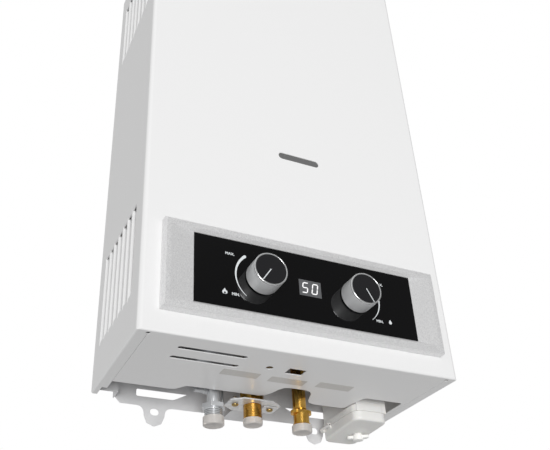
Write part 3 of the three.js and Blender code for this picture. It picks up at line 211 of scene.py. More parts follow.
def eased_mesh(node, edge, rounds=2, pick=lambda side: 1, limit=40, crease=35):
    """A copy of a solid whose sharp edges have a small radius, each times the share that pick gives it."""
    form = bmesh.new()
    form.from_mesh(frame["nodes"][node].data)
    bmesh.ops.remove_doubles(form, verts=form.verts, dist=1e-6)
    bmesh.ops.dissolve_limit(form, angle_limit=math.radians(0.4), verts=form.verts, edges=form.edges)
    weights = form.edges.layers.float.new("bevel_weight_edge")
    for side in form.edges:
        if len(side.link_faces) == 2 and side.calc_face_angle(0) > math.radians(limit):
            side[weights] = pick(side)
    mesh = plain_mesh(form)
    # the normals that came with the solid no longer fit its joined faces
    if "custom_normal" in mesh.attributes:
        mesh.attributes.remove(mesh.attributes["custom_normal"])
    smooth(mesh, crease)
    carrier = carrier_for(mesh)
    if edge:
        bevel = carrier.modifiers.new("edge", "BEVEL")
        bevel.limit_method = "WEIGHT"
        bevel.width = edge
        bevel.segments = rounds
    # large flat faces keep their flat look beside the small round ones
    even = carrier.modifiers.new("even", "WEIGHTED_NORMAL")
    even.keep_sharp = True
    even.weight = 100
    return settled(carrier)


def turned_mesh(profile, steps=64):
    """A closed body of revolution about Z from (radius, height) pairs in metres."""
    form = bmesh.new()
    rings = []
    for radius, height in profile:
        turns = [2 * math.pi * k / steps for k in range(steps)] if radius else [0]
        rings.append([form.verts.new((radius * math.cos(turn), radius * math.sin(turn), height)) for turn in turns])
    pairs = list(zip(rings, rings[1:]))
    if profile[0][0] > 0:
        pairs.append((rings[-1], rings[0]))
    for lower, upper in pairs:
        for k in range(steps):
            corners = [ring[i % len(ring)] for ring, i in ((lower, k), (lower, k + 1), (upper, k + 1), (upper, k))]
            unique = list(dict.fromkeys(corners))
            if len(unique) > 2:
                form.faces.new(unique)
    mesh = mesh_from(form)
    smooth(mesh)
    return mesh


def stood_up(curve):
    """A curve or a word made a mesh and turned from the floor's plane to face the front."""
    mesh = settled(carrier_for(curve))
    bpy.data.curves.remove(curve)
    mesh.transform(about(90, "X"))
    return mesh


def flat_mesh(loops, thick):
    """A thin plate in the plane of X and Z that faces the front, from loops of (x, z) points."""
    outline = bpy.data.curves.new("outline", "CURVE")
    outline.dimensions = "2D"
    outline.fill_mode = "BOTH"
    outline.extrude = thick / 2
    for loop in loops:
        line = outline.splines.new("POLY")
        line.points.add(len(loop) - 1)
        for point, (x, z) in zip(line.points, loop):
            point.co = (x, z, 0, 1)
        line.use_cyclic_u = True
    return stood_up(outline)


def word_mesh(word, low, high, left, thick):
    """A word whose letters stand between two heights and start at the left."""
    letters = bpy.data.curves.new("letters", "FONT")
    letters.body = word
    letters.size = (high - low) / 0.7  # a capital is about 0.7 of the size
    letters.offset = 0.025 * letters.size  # a little bolder
    letters.extrude = thick / 2
    mesh = stood_up(letters)
    xs = [corner.co.x for corner in mesh.vertices]
    zs = [corner.co.z for corner in mesh.vertices]
    grow = Matrix.Scale((high - low) / (max(zs) - min(zs)), 4)
    to_zero = Matrix.Translation((-min(xs), 0, -min(zs)))
    mesh.transform(Matrix.Translation((left, 0, low)) @ grow @ to_zero)
    return mesh


# Finishes


def colour(code):
    """A colour written as #RRGGBB, as linear light."""
    values = [int(code[i:i + 2], 16) / 255 for i in (1, 3, 5)]
    light = [v / 12.92 if v <= 0.04045 else ((v + 0.055) / 1.055) ** 2.4 for v in values]
    return (*light, 1)


def add(tree, kind, sockets=None, **settings):
    """One node with its settings and the values of its sockets."""
    made = tree.nodes.new(kind)
    for name, value in settings.items():
        setattr(made, name, value)
    for name, value in (sockets or {}).items():
        made.inputs[name].default_value = value
    return made


def wire(tree, *links):
    """Links nodes, each time from a node's output to a node's input."""
    for start, output, end, socket in links:
        tree.links.new(start.outputs[output], end.inputs[socket])


def finish(name, base, roughness, metallic=0, **sockets):
    """A material with the shader's own plain values. Its name is free among the frame's materials."""
    if name in bpy.data.materials:
        raise RuntimeError(f"the material {name} is already there")
    material = bpy.data.materials.new(name)
    material.use_nodes = True
    tree = material.node_tree
    shader = tree.nodes["Principled BSDF"]
    values = {"Base Color": colour(base), "Roughness": roughness, "Metallic": metallic}
    values |= {label.replace("_", " "): value for label, value in sockets.items()}
    for label, value in values.items():
        shader.inputs[label].default_value = value
    return tree, shader


def grained(made, grain, height=0, tint=(), spread=(0.3, 0.7), stretch=(1, 1, 1), kind="Noise"):
    """Gives a finish a pattern on the piece's own coordinates, with features of a size in millimetres.

    The pattern stands out of the surface by a height, and tints it between two shades."""
    tree, shader = made
    place = add(tree, "ShaderNodeTexCoord")
    mapping = add(tree, "ShaderNodeMapping", {"Scale": stretch})
    pattern = add(tree, f"ShaderNodeTex{kind}", {"Scale": 1 / (grain * MM)})
    wire(tree, (place, "Object", mapping, "Vector"), (mapping, "Vector", pattern, "Vector"))
    output = "Fac" if kind == "Noise" else "Color"
    if tint:
        ramp = add(tree, "ShaderNodeValToRGB")
        for k in (0, 1):
            stop = ramp.color_ramp.elements[k]
            stop.position = spread[k]
            stop.color = colour(tint[k])
        wire(tree, (pattern, output, ramp, "Fac"), (ramp, "Color", shader, "Base Color"))
    if height:
        bump = add(tree, "ShaderNodeBump", {"Strength": 0.6, "Distance": height * MM})
        wire(tree, (pattern, output, bump, "Height"), (bump, "Normal", shader, "Normal"))


def make_finishes(looks):
    """Every finish, under a comment that says what it gives the eye."""
    # glossy white powder coat on sheet steel, with a faint orange peel
    grained(finish("powder_coat", looks.casing, 0.32, IOR=1.45), 1.6, 0.012)
    # pale zinc-plated sheet with a soft, cloudy sheen
    grained(finish("zinc_sheet", "#E2E2E3", 0.45, 0.08), 22, tint=("#DCDCDD", "#E8E8E9"))
    # bright zinc plate on small pressed parts and screws, in faint patches
    patched = finish("bright_zinc", "#DEDFE0", 0.3, 0.4)
    grained(patched, 3, tint=("#DADBDC", "#EDEDED"), spread=(0.2, 0.8), kind="Voronoi")
    # smoked heat-proof pane, partly see-through
    finish("window_pane", "#8C8C8C", 0.12, IOR=1.5, Transmission_Weight=0.4)
    # silver paint on a moulding, with the fine grain of its flakes
    flaked = finish("flake_paint", looks.bezel, 0.4, 0.36)
    grained(flaked, 0.55, 0.01, ("#D8D8D9", "#FCFCFC"), (0.35, 0.65))
    # polished black panel glass
    finish("panel_glass", looks.panel, 0.02, IOR=1.65)
    # black moulded plastic with a fine texture
    grained(finish("black_plastic", "#1E1E20", 0.45), 0.8, 0.02)
    # near-black lacquered disc in a knob
    finish("insert_disc", "#232325", 0.22)
    # satin silver of the knobs' turned sides, with faint rings
    grained(finish("spun_metal", looks.knob, 0.3, 0.3), 0.5, 0.006, stretch=(0.05, 1, 0.05))
    # polished silver rim of the knobs
    finish("polished_rim", "#F2F3F4", 0.1, 0.75)
    # die-cast aluminium with a fine dull skin
    grained(finish("cast_aluminium", "#B4B6BA", 0.5, 0.8), 1.1, 0.06)
    # aluminium cut on a lathe, with faint tool rings
    grained(finish("turned_aluminium", "#D8DADC", 0.3, 0.55), 0.4, 0.012, stretch=(0.05, 0.05, 1))
    # machined brass, slightly uneven in tone
    grained(finish("machined_brass", "#DEAA4A", 0.24, 1), 7, tint=("#D09C3E", "#ECC066"))
    # brass of a cut thread, painted darker as the shade in the grooves between its crests
    finish("thread_shade_brass", "#B3803A", 0.34, 1)
    # aluminium of a cut thread, painted grey as the shade in the grooves between its crests
    finish("thread_shade_aluminium", "#808285", 0.4, 0.6)
    # rough cast brass, darker in tone as a casting and painted darker still as the shade inside the casing
    grained(finish("cast_brass", "#7A6034", 0.5, 0.9), 1.3, 0.06, ("#6C542C", "#88703F"))
    # bare copper, clouded by handling and soldering heat
    grained(finish("bare_copper", "#BE7350", 0.34, 1), 26, tint=("#A65C3C", "#CC8562"))
    # bare stainless steel with a short drawn grain
    grained(finish("drawn_stainless", "#B4B6B8", 0.32, 1), 0.6, 0.01, stretch=(0.08, 1, 1))
    # warm white moulded plastic of the battery box
    grained(finish("warm_plastic", looks.battery_box, 0.36, Subsurface_Weight=0.05), 1.4, 0.01)
    # bright white moulded plastic of the battery lid's latch
    finish("latch_plastic", "#FBFBF8", 0.34)
    # yellow-passivated zinc of the flange screws
    finish("passivated_zinc", "#B39A66", 0.32, 0.9)
    # milky, slightly see-through soft plastic of the caps
    finish("milky_plastic", looks.cap, 0.36, IOR=1.45, Transmission_Weight=0.5)
    # white glazed ceramic
    finish("glazed_ceramic", "#F0EDE6", 0.18)
    # white ink on the panel
    finish("white_print", "#E2E6E8", 0.5)
    # grey back of the lit display
    finish("display_back", "#626365", 0.3)
    # white segments that glow
    finish("lit_digit", "#F8F8F8", 0.5, Emission_Color=colour("#FFFFFF"), Emission_Strength=0.3)
    # bare silver-grey foil of the small labels
    grained(finish("foil_label", "#D6D4D1", 0.4, 0.25), 0.7, tint=("#CDCBC8", "#DDDBD8"))
    # dark plastic sleeve of a battery cell
    finish("cell_sleeve", "#26282C", 0.25)


# Each finish, the slot of the record that it belongs to, and the solids that have it
SOLIDS = (
    ("powder_coat", "white_enamel", ("front_cover",)),
    ("zinc_sheet", "zinc_plate", ("rear_frame", "flue_hood", "flue_collar")),
    ("bright_zinc", "zinc_plate", ("outlet_flange", "flange_clip", "cover_screw_left", "cover_screw_right")),
    ("window_pane", "window_glass", ("flame_window",)),
    ("flake_paint", "silver_paint", ("control_bezel",)),
    ("panel_glass", "black_glass", ("glass_panel",)),
    ("insert_disc", "dark_plastic", ("gas_knob_insert", "water_knob_insert")),
    ("black_plastic", "dark_plastic", (
        "display_module", "microswitch", "relief_cap", "spill_thermostat", "overheat_thermostat", "igniter_box",
    )),
    ("spun_metal", "satin_metal", ("gas_knob", "water_knob")),
    ("turned_aluminium", "aluminium", ("gas_inlet", "gas_riser", "pressure_tap")),
    ("cast_aluminium", "aluminium", ("gas_valve", "gas_manifold")),
    ("machined_brass", "brass", (
        "gas_spindle", "water_spindle", "cold_inlet", "hot_outlet", "battery_contact", "door_contact",
    )),
    # the valve bodies' dark brass is partly painted shade, for the dark inside the casing
    ("cast_brass", "brass", ("water_valve", "diaphragm_cover")),
    ("passivated_zinc", "brass", ("outlet_screw_left", "outlet_screw_right")),
    ("bare_copper", "copper", (
        "combustion_chamber", "heat_exchanger", "exchanger_coil", "cold_pipe", "hot_pipe",
    )),
    ("drawn_stainless", "stainless", (
        "burner", "inlet_tie_rod", "solenoid_valve", "push_rod", "battery_hinge_pin",
    )),
    ("cell_sleeve", "stainless", ("battery_cell_front", "battery_cell_rear")),
    ("warm_plastic", "white_plastic", ("battery_box", "battery_door")),
    ("latch_plastic", "white_plastic", ("battery_latch",)),
    ("milky_plastic", "cap_plastic", ("gas_inlet_cap", "hot_outlet_cap", "cold_inlet_cap")),
    ("glazed_ceramic", "ceramic", ("spark_electrode", "flame_probe")),
)
FINISH_OF = {node: (name, slot) for name, slot, nodes in SOLIDS for node in nodes}

# Solids whose edges get a small radius: the radius in millimetres and the rounds of the bevel
EASED = {
    "front_cover": (0, 1), "flange_clip": (0.2, 2), "outlet_flange": (0.3, 2), "flue_hood": (0, 1),
    "flame_window": (0.3, 2), "glass_panel": (0.2, 2), "display_module": (0.3, 2), "microswitch": (0.5, 2),
    "relief_cap": (0.6, 3), "spill_thermostat": (0.6, 2), "overheat_thermostat": (0.6, 2), "igniter_box": (1, 3),
    "gas_inlet": (0.35, 2), "gas_valve": (0.8, 3), "gas_manifold": (0.3, 2), "pressure_tap": (0.3, 2),
    "gas_spindle": (0.2, 1), "water_spindle": (0.2, 1), "cold_inlet": (0.4, 2), "hot_outlet": (0.4, 2),
    "water_valve": (0.8, 3), "diaphragm_cover": (0.6, 2), "battery_contact": (0.1, 1),
    "combustion_chamber": (0, 1), "burner": (0, 1), "inlet_tie_rod": (0.1, 1), "solenoid_valve": (0.8, 3),
    "push_rod": (0.2, 1), "battery_hinge_pin": (0.1, 1), "battery_box": (0.3, 2), "spark_electrode": (0.2, 1),
    "flame_probe": (0.2, 1),
}


# Geometry trees


def new_tree(name, **inputs):
    """A geometry tree with named inputs and a finish, its group input and its group output."""
    tree = bpy.data.node_groups.new(name, "GeometryNodeTree")
    tree.interface.new_socket("Geometry", in_out="OUTPUT", socket_type="NodeSocketGeometry")
    for label, kind in {"Geometry": "Geometry", **inputs, "Finish": "Material"}.items():
        tree.interface.new_socket(label, in_out="INPUT", socket_type=f"NodeSocket{kind}")
    return tree, add(tree, "NodeGroupInput"), add(tree, "NodeGroupOutput")


def end_tree(tree, given, result, last, output):
    """Ends a tree with real geometry in the given finish."""
    real = add(tree, "GeometryNodeRealizeInstances")
    painted = add(tree, "GeometryNodeSetMaterial")
    wire(
        tree,
        (last, output, real, "Geometry"), (real, "Geometry", painted, "Geometry"),
        (given, "Finish", painted, "Material"), (painted, "Geometry", result, "Geometry"),
    )


def row_tree():
    """Repeats the geometry along a line."""
    tree, given, result = new_tree("row", Count="Int", Step="Vector")
    line = add(tree, "GeometryNodeMeshLine", mode="OFFSET")
    copies = add(tree, "GeometryNodeInstanceOnPoints")
    wire(
        tree,
        (given, "Count", line, "Count"), (given, "Step", line, "Offset"),
        (line, "Mesh", copies, "Points"), (given, "Geometry", copies, "Instance"),
    )
    end_tree(tree, given, result, copies, "Instances")


def ring_tree():
    """Repeats the geometry in even turns about Z."""
    tree, given, result = new_tree("ring", Count="Int")
    line = add(tree, "GeometryNodeMeshLine", {"Offset": (0, 0, 0)}, mode="OFFSET")
    copies = add(tree, "GeometryNodeInstanceOnPoints")
    number = add(tree, "GeometryNodeInputIndex")
    share = add(tree, "ShaderNodeMath", operation="DIVIDE")
    turn = add(tree, "ShaderNodeMath", {1: 2 * math.pi}, operation="MULTIPLY")
    about_z = add(tree, "ShaderNodeCombineXYZ")
    rotation = add(tree, "FunctionNodeEulerToRotation")
    wire(
        tree,
        (given, "Count", line, "Count"), (number, "Index", share, 0), (given, "Count", share, 1),
        (share, "Value", turn, 0), (turn, "Value", about_z, "Z"), (about_z, "Vector", rotation, "Euler"),
        (line, "Mesh", copies, "Points"), (given, "Geometry", copies, "Instance"),
        (rotation, "Rotation", copies, "Rotation"),
    )
    end_tree(tree, given, result, copies, "Instances")


def swept(tree, given, path):
    """A round section of the given radius and sides, swept along a path with closed ends."""
    section = add(tree, "GeometryNodeCurvePrimitiveCircle", mode="RADIUS")
    along = add(tree, "GeometryNodeCurveToMesh", {"Fill Caps": True})
    wire(
        tree,
        (given, "Sides", section, "Resolution"), (given, "Section", section, "Radius"),
        (path, "Curve", along, "Curve"), (section, "Curve", along, "Profile Curve"),
    )
    return along


def thread_tree():
    """A screw thread: a section on its corner, wound up about Z."""
    tree, given, result = new_tree(
        "thread", Radius="Float", Pitch="Float", Turns="Float", End_Radius="Float", Section="Float", Sides="Int",
    )
    rise = add(tree, "ShaderNodeMath", operation="MULTIPLY")
    path = add(tree, "GeometryNodeCurveSpiral", {"Resolution": 48})
    level = add(tree, "GeometryNodeSetCurveNormal", mode="Z_UP")
    wire(
        tree,
        (given, "Pitch", rise, 0), (given, "Turns", rise, 1), (given, "Turns", path, "Rotations"),
        (given, "Radius", path, "Start Radius"), (given, "End_Radius", path, "End Radius"),
        (rise, "Value", path, "Height"), (path, "Curve", level, "Curve"),
    )
    end_tree(tree, given, result, swept(tree, given, level), "Mesh")


def pipe_tree():
    """A round pipe along a path of straight runs, with filleted bends."""
    tree, given, result = new_tree("pipe", Section="Float", Bend="Float", Sides="Int")
    path = add(tree, "GeometryNodeMeshToCurve")
    bent = add(tree, "GeometryNodeFilletCurve", {"Count": 10}, mode="POLY")
    shaded = add(tree, "GeometryNodeSetShadeSmooth")
    wire(
        tree,
        (given, "Geometry", path, "Mesh"), (path, "Curve", bent, "Curve"), (given, "Bend", bent, "Radius"),
        (swept(tree, given, bent), "Mesh", shaded, "Geometry"),
    )
    end_tree(tree, given, result, shaded, "Geometry")


def grown(mesh, tree_name, finish_name, **values):
    """The mesh that a geometry tree makes from a mesh, a finish and named values."""
    tree = bpy.data.node_groups[tree_name]
    carrier = carrier_for(mesh)
    modifier = carrier.modifiers.new("grow", "NODES")
    modifier.node_group = tree
    sockets = {item.name: item.identifier for item in tree.interface.items_tree if item.in_out == "INPUT"}
    modifier[sockets["Finish"]] = bpy.data.materials[finish_name]
    for label, value in values.items():
        modifier[sockets[label]] = value
    return settled(carrier)


# Settings


def set_colour(name, description, default):
    """A colour that can be set."""
    return bpy.props.StringProperty(name=name, description=description, default=default)


def set_length(name, description, default):
    """A length that can be set."""
    return bpy.props.FloatProperty(name=name, description=description, default=default, unit="LENGTH", precision=5)


class HeaterLooks(bpy.types.PropertyGroup):
    """Colours of the main finishes, as #RRGGBB."""

    casing: set_colour("Casing", "White of the casing", "#F1F1F1")
    bezel: set_colour("Bezel", "Silver of the panel's frame", "#C8C9CB")
    panel: set_colour("Panel", "Black of the panel glass", "#050506")
    knob: set_colour("Knob", "Silver of the knobs", "#F2F3F4")
    battery_box: set_colour("Battery box", "Warm white of the battery box", "#EFECE8")
    cap: set_colour("Cap", "Milky white of the caps", "#F8F4F0")


class HeaterSizes(bpy.types.PropertyGroup):
    """Sizes of the details, in metres."""

    pointer_width: set_length("Pointer width", "Width of the line on a knob", 0.9 * MM)
    dial_radius: set_length("Dial radius", "Radius of the arc round a knob", 27.5 * MM)
    dial_thick: set_length("Dial thick end", "Width of the arc at its MAX end", 3.1 * MM)
    dial_thin: set_length("Dial thin end", "Width of the arc at its MIN end", 0.5 * MM)
    ink: set_length("Ink", "Thickness of print on the glass", 0.06 * MM)
    digit_height: set_length("Digit height", "Height of a digit on the display", 12 * MM)
    digit_width: set_length("Digit width", "Width of a digit on the display", 6.6 * MM)
    thread_pitch: set_length("Thread pitch", "Pitch of the half-inch pipe threads", 1.814 * MM)
    fin_count: bpy.props.IntProperty(name="Fins", description="Fins of the heat exchanger", default=60, min=2)
    fin_thick: set_length("Fin", "Thickness of a fin", 0.4 * MM)
    lid_edge: set_length("Lid edge", "Radius of the battery lid's lower edge", 2.6 * MM)
    bezel_edge: set_length("Bezel edge", "Radius of the bezel's edges", 0.7 * MM)


# Pieces


class HEATER_OT_finishes(bpy.types.Operator):
    """Makes the finishes and puts one on every solid"""

    bl_idname = "heater.finishes"
    bl_label = "Finishes"

    def execute(self, context):
        make_finishes(context.scene.heater_looks)
        for node, (name, _) in FINISH_OF.items():
            mesh = frame["nodes"][node].data
            mesh.materials.clear()
            mesh.materials.append(bpy.data.materials[name])
        return {"FINISHED"}


class HEATER_OT_trees(bpy.types.Operator):
    """Builds the geometry trees that repeat or draw out the details"""

    bl_idname = "heater.trees"
    bl_label = "Geometry trees"

    def execute(self, context):
        for make in (row_tree, ring_tree, thread_tree, pipe_tree):
            make()
        return {"FINISHED"}


class HEATER_OT_eased(bpy.types.Operator):
    """Copies of the plain solids with smooth shading and eased edges"""

    bl_idname = "heater.eased"
    bl_label = "Eased solids"

    def execute(self, context):
        for node, (edge, rounds) in EASED.items():
            dress(f"{node}.eased", eased_mesh(node, edge * MM, rounds), node)
        return {"FINISHED"}


class HEATER_OT_rear_plate(bpy.types.Operator):
    """The rear frame with round corners on its hanging tabs and lower windows"""

    bl_idname = "heater.rear_plate"
    bl_label = "Rear plate"

    def execute(self, context):
        tabs_to, windows_to = at(0, 0, 6).z, at(0, 0, 22).z
        half = 125 * MM  # the tabs and windows lie within this distance from the middle
        same = 0.01 * MM
        window_share, blunt_share, sharp_share = 1, 0.45, 0.2

        def corner(edge):
            first, last = (end.co for end in edge.verts)
            along_y = abs(first.x - last.x) < same and abs(first.z - last.z) < same
            if not along_y or first.z > windows_to or abs(first.x) > half:
                return 0
            if first.z > tabs_to:
                return window_share
            return blunt_share if edge.calc_face_angle(0) < math.radians(50) else sharp_share

        dress("rear_plate", eased_mesh("rear_frame", 3.4 * MM, 3, corner, 12), "rear_frame")
        return {"FINISHED"}


class HEATER_OT_bezel(bpy.types.Operator):
    """The silver moulding round the glass, with its rounded rim"""

    bl_idname = "heater.bezel"
    bl_label = "Bezel"

    def execute(self, context):
        rim_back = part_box("control_bezel")[0].y + 4 * MM

        def on_front(edge):
            return all(corner.co.y < rim_back for corner in edge.verts)

        mesh = eased_mesh("control_bezel", context.scene.heater_sizes.bezel_edge, 3, on_front, 15, 4)
        dress("bezel_moulding", mesh, "control_bezel")
        return {"FINISHED"}


class HEATER_OT_knobs(bpy.types.Operator):
    """Both knobs: spun side, polished rim, dark disc and white pointer"""

    bl_idname = "heater.knobs"
    bl_label = "Knobs"

    POINTER = {"gas": 235, "water": -62}  # where the pointers stand, in degrees

    def execute(self, context):
        width = context.scene.heater_sizes.pointer_width
        bore, wall = 3.2 * MM, 1.1 * MM
        rim, lip, edge = 0.9 * MM, 0.5 * MM, 0.2 * MM  # outer and inner round of the rim, edge of the disc
        for side, angle in self.POINTER.items():
            knob, insert = f"{side}_knob", f"{side}_knob_insert"
            low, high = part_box(knob)
            disc_low, disc_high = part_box(insert)
            centre = (low + high) / 2
            radius, length = (high.x - low.x) / 2, high.y - low.y
            disc, face = (disc_high.x - disc_low.x) / 2, length - (disc_low.y - low.y)
            groove = radius - 0.25 * MM  # the rim stands back from the side
            shoulder, floor, back = length - 1.6 * MM, length - 2.4 * MM, length - 5 * MM
            rim_back, disc_back = length - 1.55 * MM, length - 2.3 * MM
            shell = [(bore, 0), *arc(radius - rim, rim, rim, -90, 90, 5)]
            shell += [(groove, shoulder), (radius - wall, shoulder), (radius - wall, floor), (0, floor)]
            shell += [(0, back), (bore, back)]
            ring = [(disc, rim_back), (groove, rim_back), *arc(groove - rim, length - rim, rim, 0, 90, 6)]
            ring += arc(disc + lip, length - lip, lip, 90, 90, 4)
            plate = [(0, disc_back), (disc, disc_back), (disc, face - edge), (disc - edge, face), (0, face)]
            pointer = self.pointer(radius, disc, length, face, width, angle)
            for name, mesh, finish_name, slot, stands_for in (
                ("side", turned_mesh(shell, 128), "spun_metal", "satin_metal", (knob,)),
                ("rim", turned_mesh(ring, 128), "polished_rim", "satin_metal", ()),
                ("disc", turned_mesh(plate, 96), "insert_disc", "dark_plastic", (insert,)),
                ("pointer", pointer, "white_print", "dark_plastic", ()),
            ):
                mesh.transform(Matrix.Translation((centre.x, high.y, centre.z)) @ about(90, "X"))
                show(f"{knob}_{name}", mesh, knob, finish_name, slot, stands_for)
        return {"FINISHED"}

    def pointer(self, radius, disc, length, face, width, angle):
        """A thin line from the middle over the disc, then down the side."""
        form = bmesh.new()
        proud = 0.08 * MM
        for inner, outer, low, high, wide in (
            (0, disc - 0.3 * MM, face, face + proud, width),
            (radius - 0.35 * MM, radius + 0.05 * MM, 2.2 * MM, length - 1.9 * MM, 0.45 * width),
        ):
            section = ((inner, -wide / 2), (outer, -wide / 2), (outer, wide / 2), (inner, wide / 2))
            add_prism(form, *([(x, y, z) for x, y in section] for z in (low, high)))
        mesh = mesh_from(form)
        mesh.transform(about(angle, "Z"))
        return mesh


class HEATER_OT_dials(bpy.types.Operator):
    """Arcs, words and signs printed on the glass beside the knobs"""

    bl_idname = "heater.dials"
    bl_label = "Dials"

    def execute(self, context):
        sizes = context.scene.heater_sizes
        ink = sizes.ink
        gas, water = middle("gas_knob"), middle("water_knob")
        letter = 3 * MM
        above, below = 19.6 * MM, -23.6 * MM  # the foot of each word from its knob's middle
        prints = [self.dial(sizes, gas, 130, 232), self.dial(sizes, water, 50, -52)]
        for word, knob, left, foot in (
            ("MAX.", gas, -37.8, above), ("MIN.", gas, -31.8, below),
            ("MIN.", water, 21.6, below), ("MAX.", water, 25.5, above),
        ):
            low = knob.z + foot
            prints.append(word_mesh(word, low, low + letter, knob.x + left * MM, ink))
        prints.append(self.flame(gas.x - 38.9 * MM, gas.z + below, 6 * MM, ink))
        prints.append(self.drop(water.x + 38.1 * MM, water.z - 23.4 * MM, 5.2 * MM, ink))
        mesh = moved(joined(prints), (0, FRONT - ink / 2, 0))
        show("panel_print", mesh, body_of("glass_panel"), "white_print", "black_glass")
        return {"FINISHED"}

    def dial(self, sizes, centre, start, end):
        """An arc that narrows from a round thick end to a thin one."""
        radius, thick, thin = sizes.dial_radius, sizes.dial_thick, sizes.dial_thin
        steps = 48
        outer, inner = [], []
        for k in range(steps + 1):
            share = k / steps
            turn = math.radians(start + (end - start) * share)
            half = (thick + (thin - thick) * share ** 0.7) / 2
            for ring, reach in ((outer, radius + half), (inner, radius - half)):
                ring.append((centre.x + reach * math.cos(turn), centre.z + reach * math.sin(turn)))
        hub = arc(centre.x, centre.z, radius, start, 0, 1)[0]
        cap = arc(*hub, thick / 2, start + 180, math.copysign(180, end - start), 10)[1:-1]
        return flat_mesh([outer + inner[::-1] + cap], sizes.ink)

    def flame(self, x, z, high, thick):
        """A flame with a smaller flame cut out of it."""
        outer = (
            (-0.06, 1.0), (0.1, 0.86), (0.18, 0.68), (0.22, 0.56), (0.32, 0.66), (0.41, 0.48), (0.44, 0.3),
            (0.37, 0.13), (0.2, 0.02), (-0.2, 0.02), (-0.37, 0.13), (-0.44, 0.32), (-0.38, 0.52), (-0.26, 0.66),
            (-0.14, 0.8),
        )
        inner = ((0.02, 0.46), (0.14, 0.32), (0.17, 0.18), (0.08, 0.06), (-0.1, 0.06), (-0.18, 0.2), (-0.08, 0.34))
        return flat_mesh([[(x + u * high, z + v * high) for u, v in loop] for loop in (outer, inner)], thick)

    def drop(self, x, z, high, thick):
        """A water drop."""
        radius = 0.34 * high
        return flat_mesh([[(x, z + high), *arc(x, z + radius, radius, 32, -244, 24)]], thick)


class HEATER_OT_display(bpy.types.Operator):
    """The lit window with two digits"""

    bl_idname = "heater.display"
    bl_label = "Display"

    SEGMENTS = {"5": "afgcd", "0": "abcdef"}

    def execute(self, context):
        sizes = context.scene.heater_sizes
        body = body_of("glass_panel")
        half = 12.2 * MM
        low, high, foot = at(0, 0, 60.3).z, at(0, 0, 77.9).z, at(0, 0, 63.2).z
        window = flat_mesh([[(-half, low), (half, low), (half, high), (-half, high)]], sizes.ink)
        moved(window, (0, FRONT - sizes.ink / 2, 0))
        show("display_window", window, body, "display_back", "black_glass")
        digits = self.digit(sizes, "5", -9.8 * MM, foot) + self.digit(sizes, "0", 0.9 * MM, foot)
        mesh = moved(joined(digits), (0, FRONT - 1.5 * sizes.ink, 0))
        show("display_digits", mesh, body, "lit_digit", "black_glass")
        return {"FINISHED"}

    def digit(self, sizes, sign, left, low):
        """The lit segments of one digit, which lean to the right."""
        half, gap = 0.55 * MM, 0.15 * MM
        lean = math.tan(math.radians(9))
        first, last = half, sizes.digit_width - half
        bottom, centre, top = half, sizes.digit_height / 2, sizes.digit_height - half
        lying = {"a": top, "g": centre, "d": bottom}
        standing = {
            "f": (first, centre, top), "b": (last, centre, top), "e": (first, bottom, centre),
            "c": (last, bottom, centre),
        }
        meshes = []
        for segment in self.SEGMENTS[sign]:
            level, start, end = standing.get(segment) or (lying[segment], first, last)
            a, b = start + gap, end - gap
            loop = [(a, 0), (a + half, half), (b - half, half), (b, 0), (b - half, -half), (a + half, -half)]
            places = [(level + v, u) if segment in standing else (u, level + v) for u, v in loop]
            meshes.append(flat_mesh([[(left + x + z * lean, low + z) for x, z in places]], sizes.ink))
        return meshes


class HEATER_OT_labels(bpy.types.Operator):
    """Three bare foil labels under the casing"""

    bl_idname = "heater.labels"
    bl_label = "Labels"

    PLACES = ((-46.9, 61), (5.3, 62.2), (58.4, 59.6))  # middles of the labels, in millimetres

    def execute(self, context):
        long, wide, thick, corner = 40, 13.3, 0.1, 0.8
        form = bmesh.new()
        for x, y in self.PLACES:
            loop = round_rectangle(x - long / 2, x + long / 2, y - wide / 2, y + wide / 2, corner, 4)
            add_prism(form, *([at(u, v, z) for u, v in loop] for z in (-thick, 0)))
        show("foil_labels", mesh_from(form), body_of("front_cover"), "foil_label", "white_enamel")
        return {"FINISHED"}


class HEATER_OT_threads(bpy.types.Operator):
    """Pipe threads on the three connections"""

    bl_idname = "heater.threads"
    bl_label = "Pipe threads"

    # Radius, lower and upper end and axis of each thread, as on the solids, in millimetres
    THREADS = (
        # the thread turns take a darker finish, painted shade for the grooves between their crests
        ("gas_thread", "gas_inlet", "thread_shade_aluminium", 9.1, -30.5, -15.6, (-50, 124)),
        ("hot_thread", "hot_outlet", "thread_shade_brass", 9.5, -25.4, -6.6, (-5.6, 124)),
        ("cold_thread", "cold_inlet", "thread_shade_brass", 9, -36.6, -29.4, (38.7, 99)),
    )

    def execute(self, context):
        pitch = context.scene.heater_sizes.thread_pitch
        section = 0.5 * pitch
        for name, node, finish_name, radius, low, high, axis in self.THREADS:
            core = radius * MM - 0.62 * section
            mesh = grown(
                bpy.data.meshes.new("path"), "thread", finish_name, Radius=core, End_Radius=core,
                Pitch=pitch, Turns=(high - low) * MM / pitch, Section=section, Sides=4,
            )
            show(name, moved(mesh, at(*axis, low)), body_of(node), finish_name, FINISH_OF[node][1])
        return {"FINISHED"}


class HEATER_OT_caps(bpy.types.Operator):
    """Soft caps on the three connections"""

    bl_idname = "heater.caps"
    bl_label = "Caps"

    BORES = (("gas_inlet_cap", 9.4), ("hot_outlet_cap", 9.8), ("cold_inlet_cap", 9.3))  # radii in millimetres

    def execute(self, context):
        wall, edge, lip = 1.1 * MM, 1.3 * MM, 0.3 * MM
        dish, dish_edge, dish_rim = 0.35 * MM, 4 * MM, 3.4 * MM  # its depth, and its slope from the side
        for node, bore_radius in self.BORES:
            foot, radius, tall = upright(node)
            bore = bore_radius * MM
            profile = [(0, dish), (radius - dish_edge, dish), (radius - dish_rim, 0)]
            profile += arc(radius - edge, edge, edge, -90, 90, 5)
            profile += [(radius, tall - lip), (radius - lip, tall), (bore, tall), (bore, wall), (0, wall)]
            dress(f"{node}.soft", moved(turned_mesh(profile, 96), foot), node)
        return {"FINISHED"}


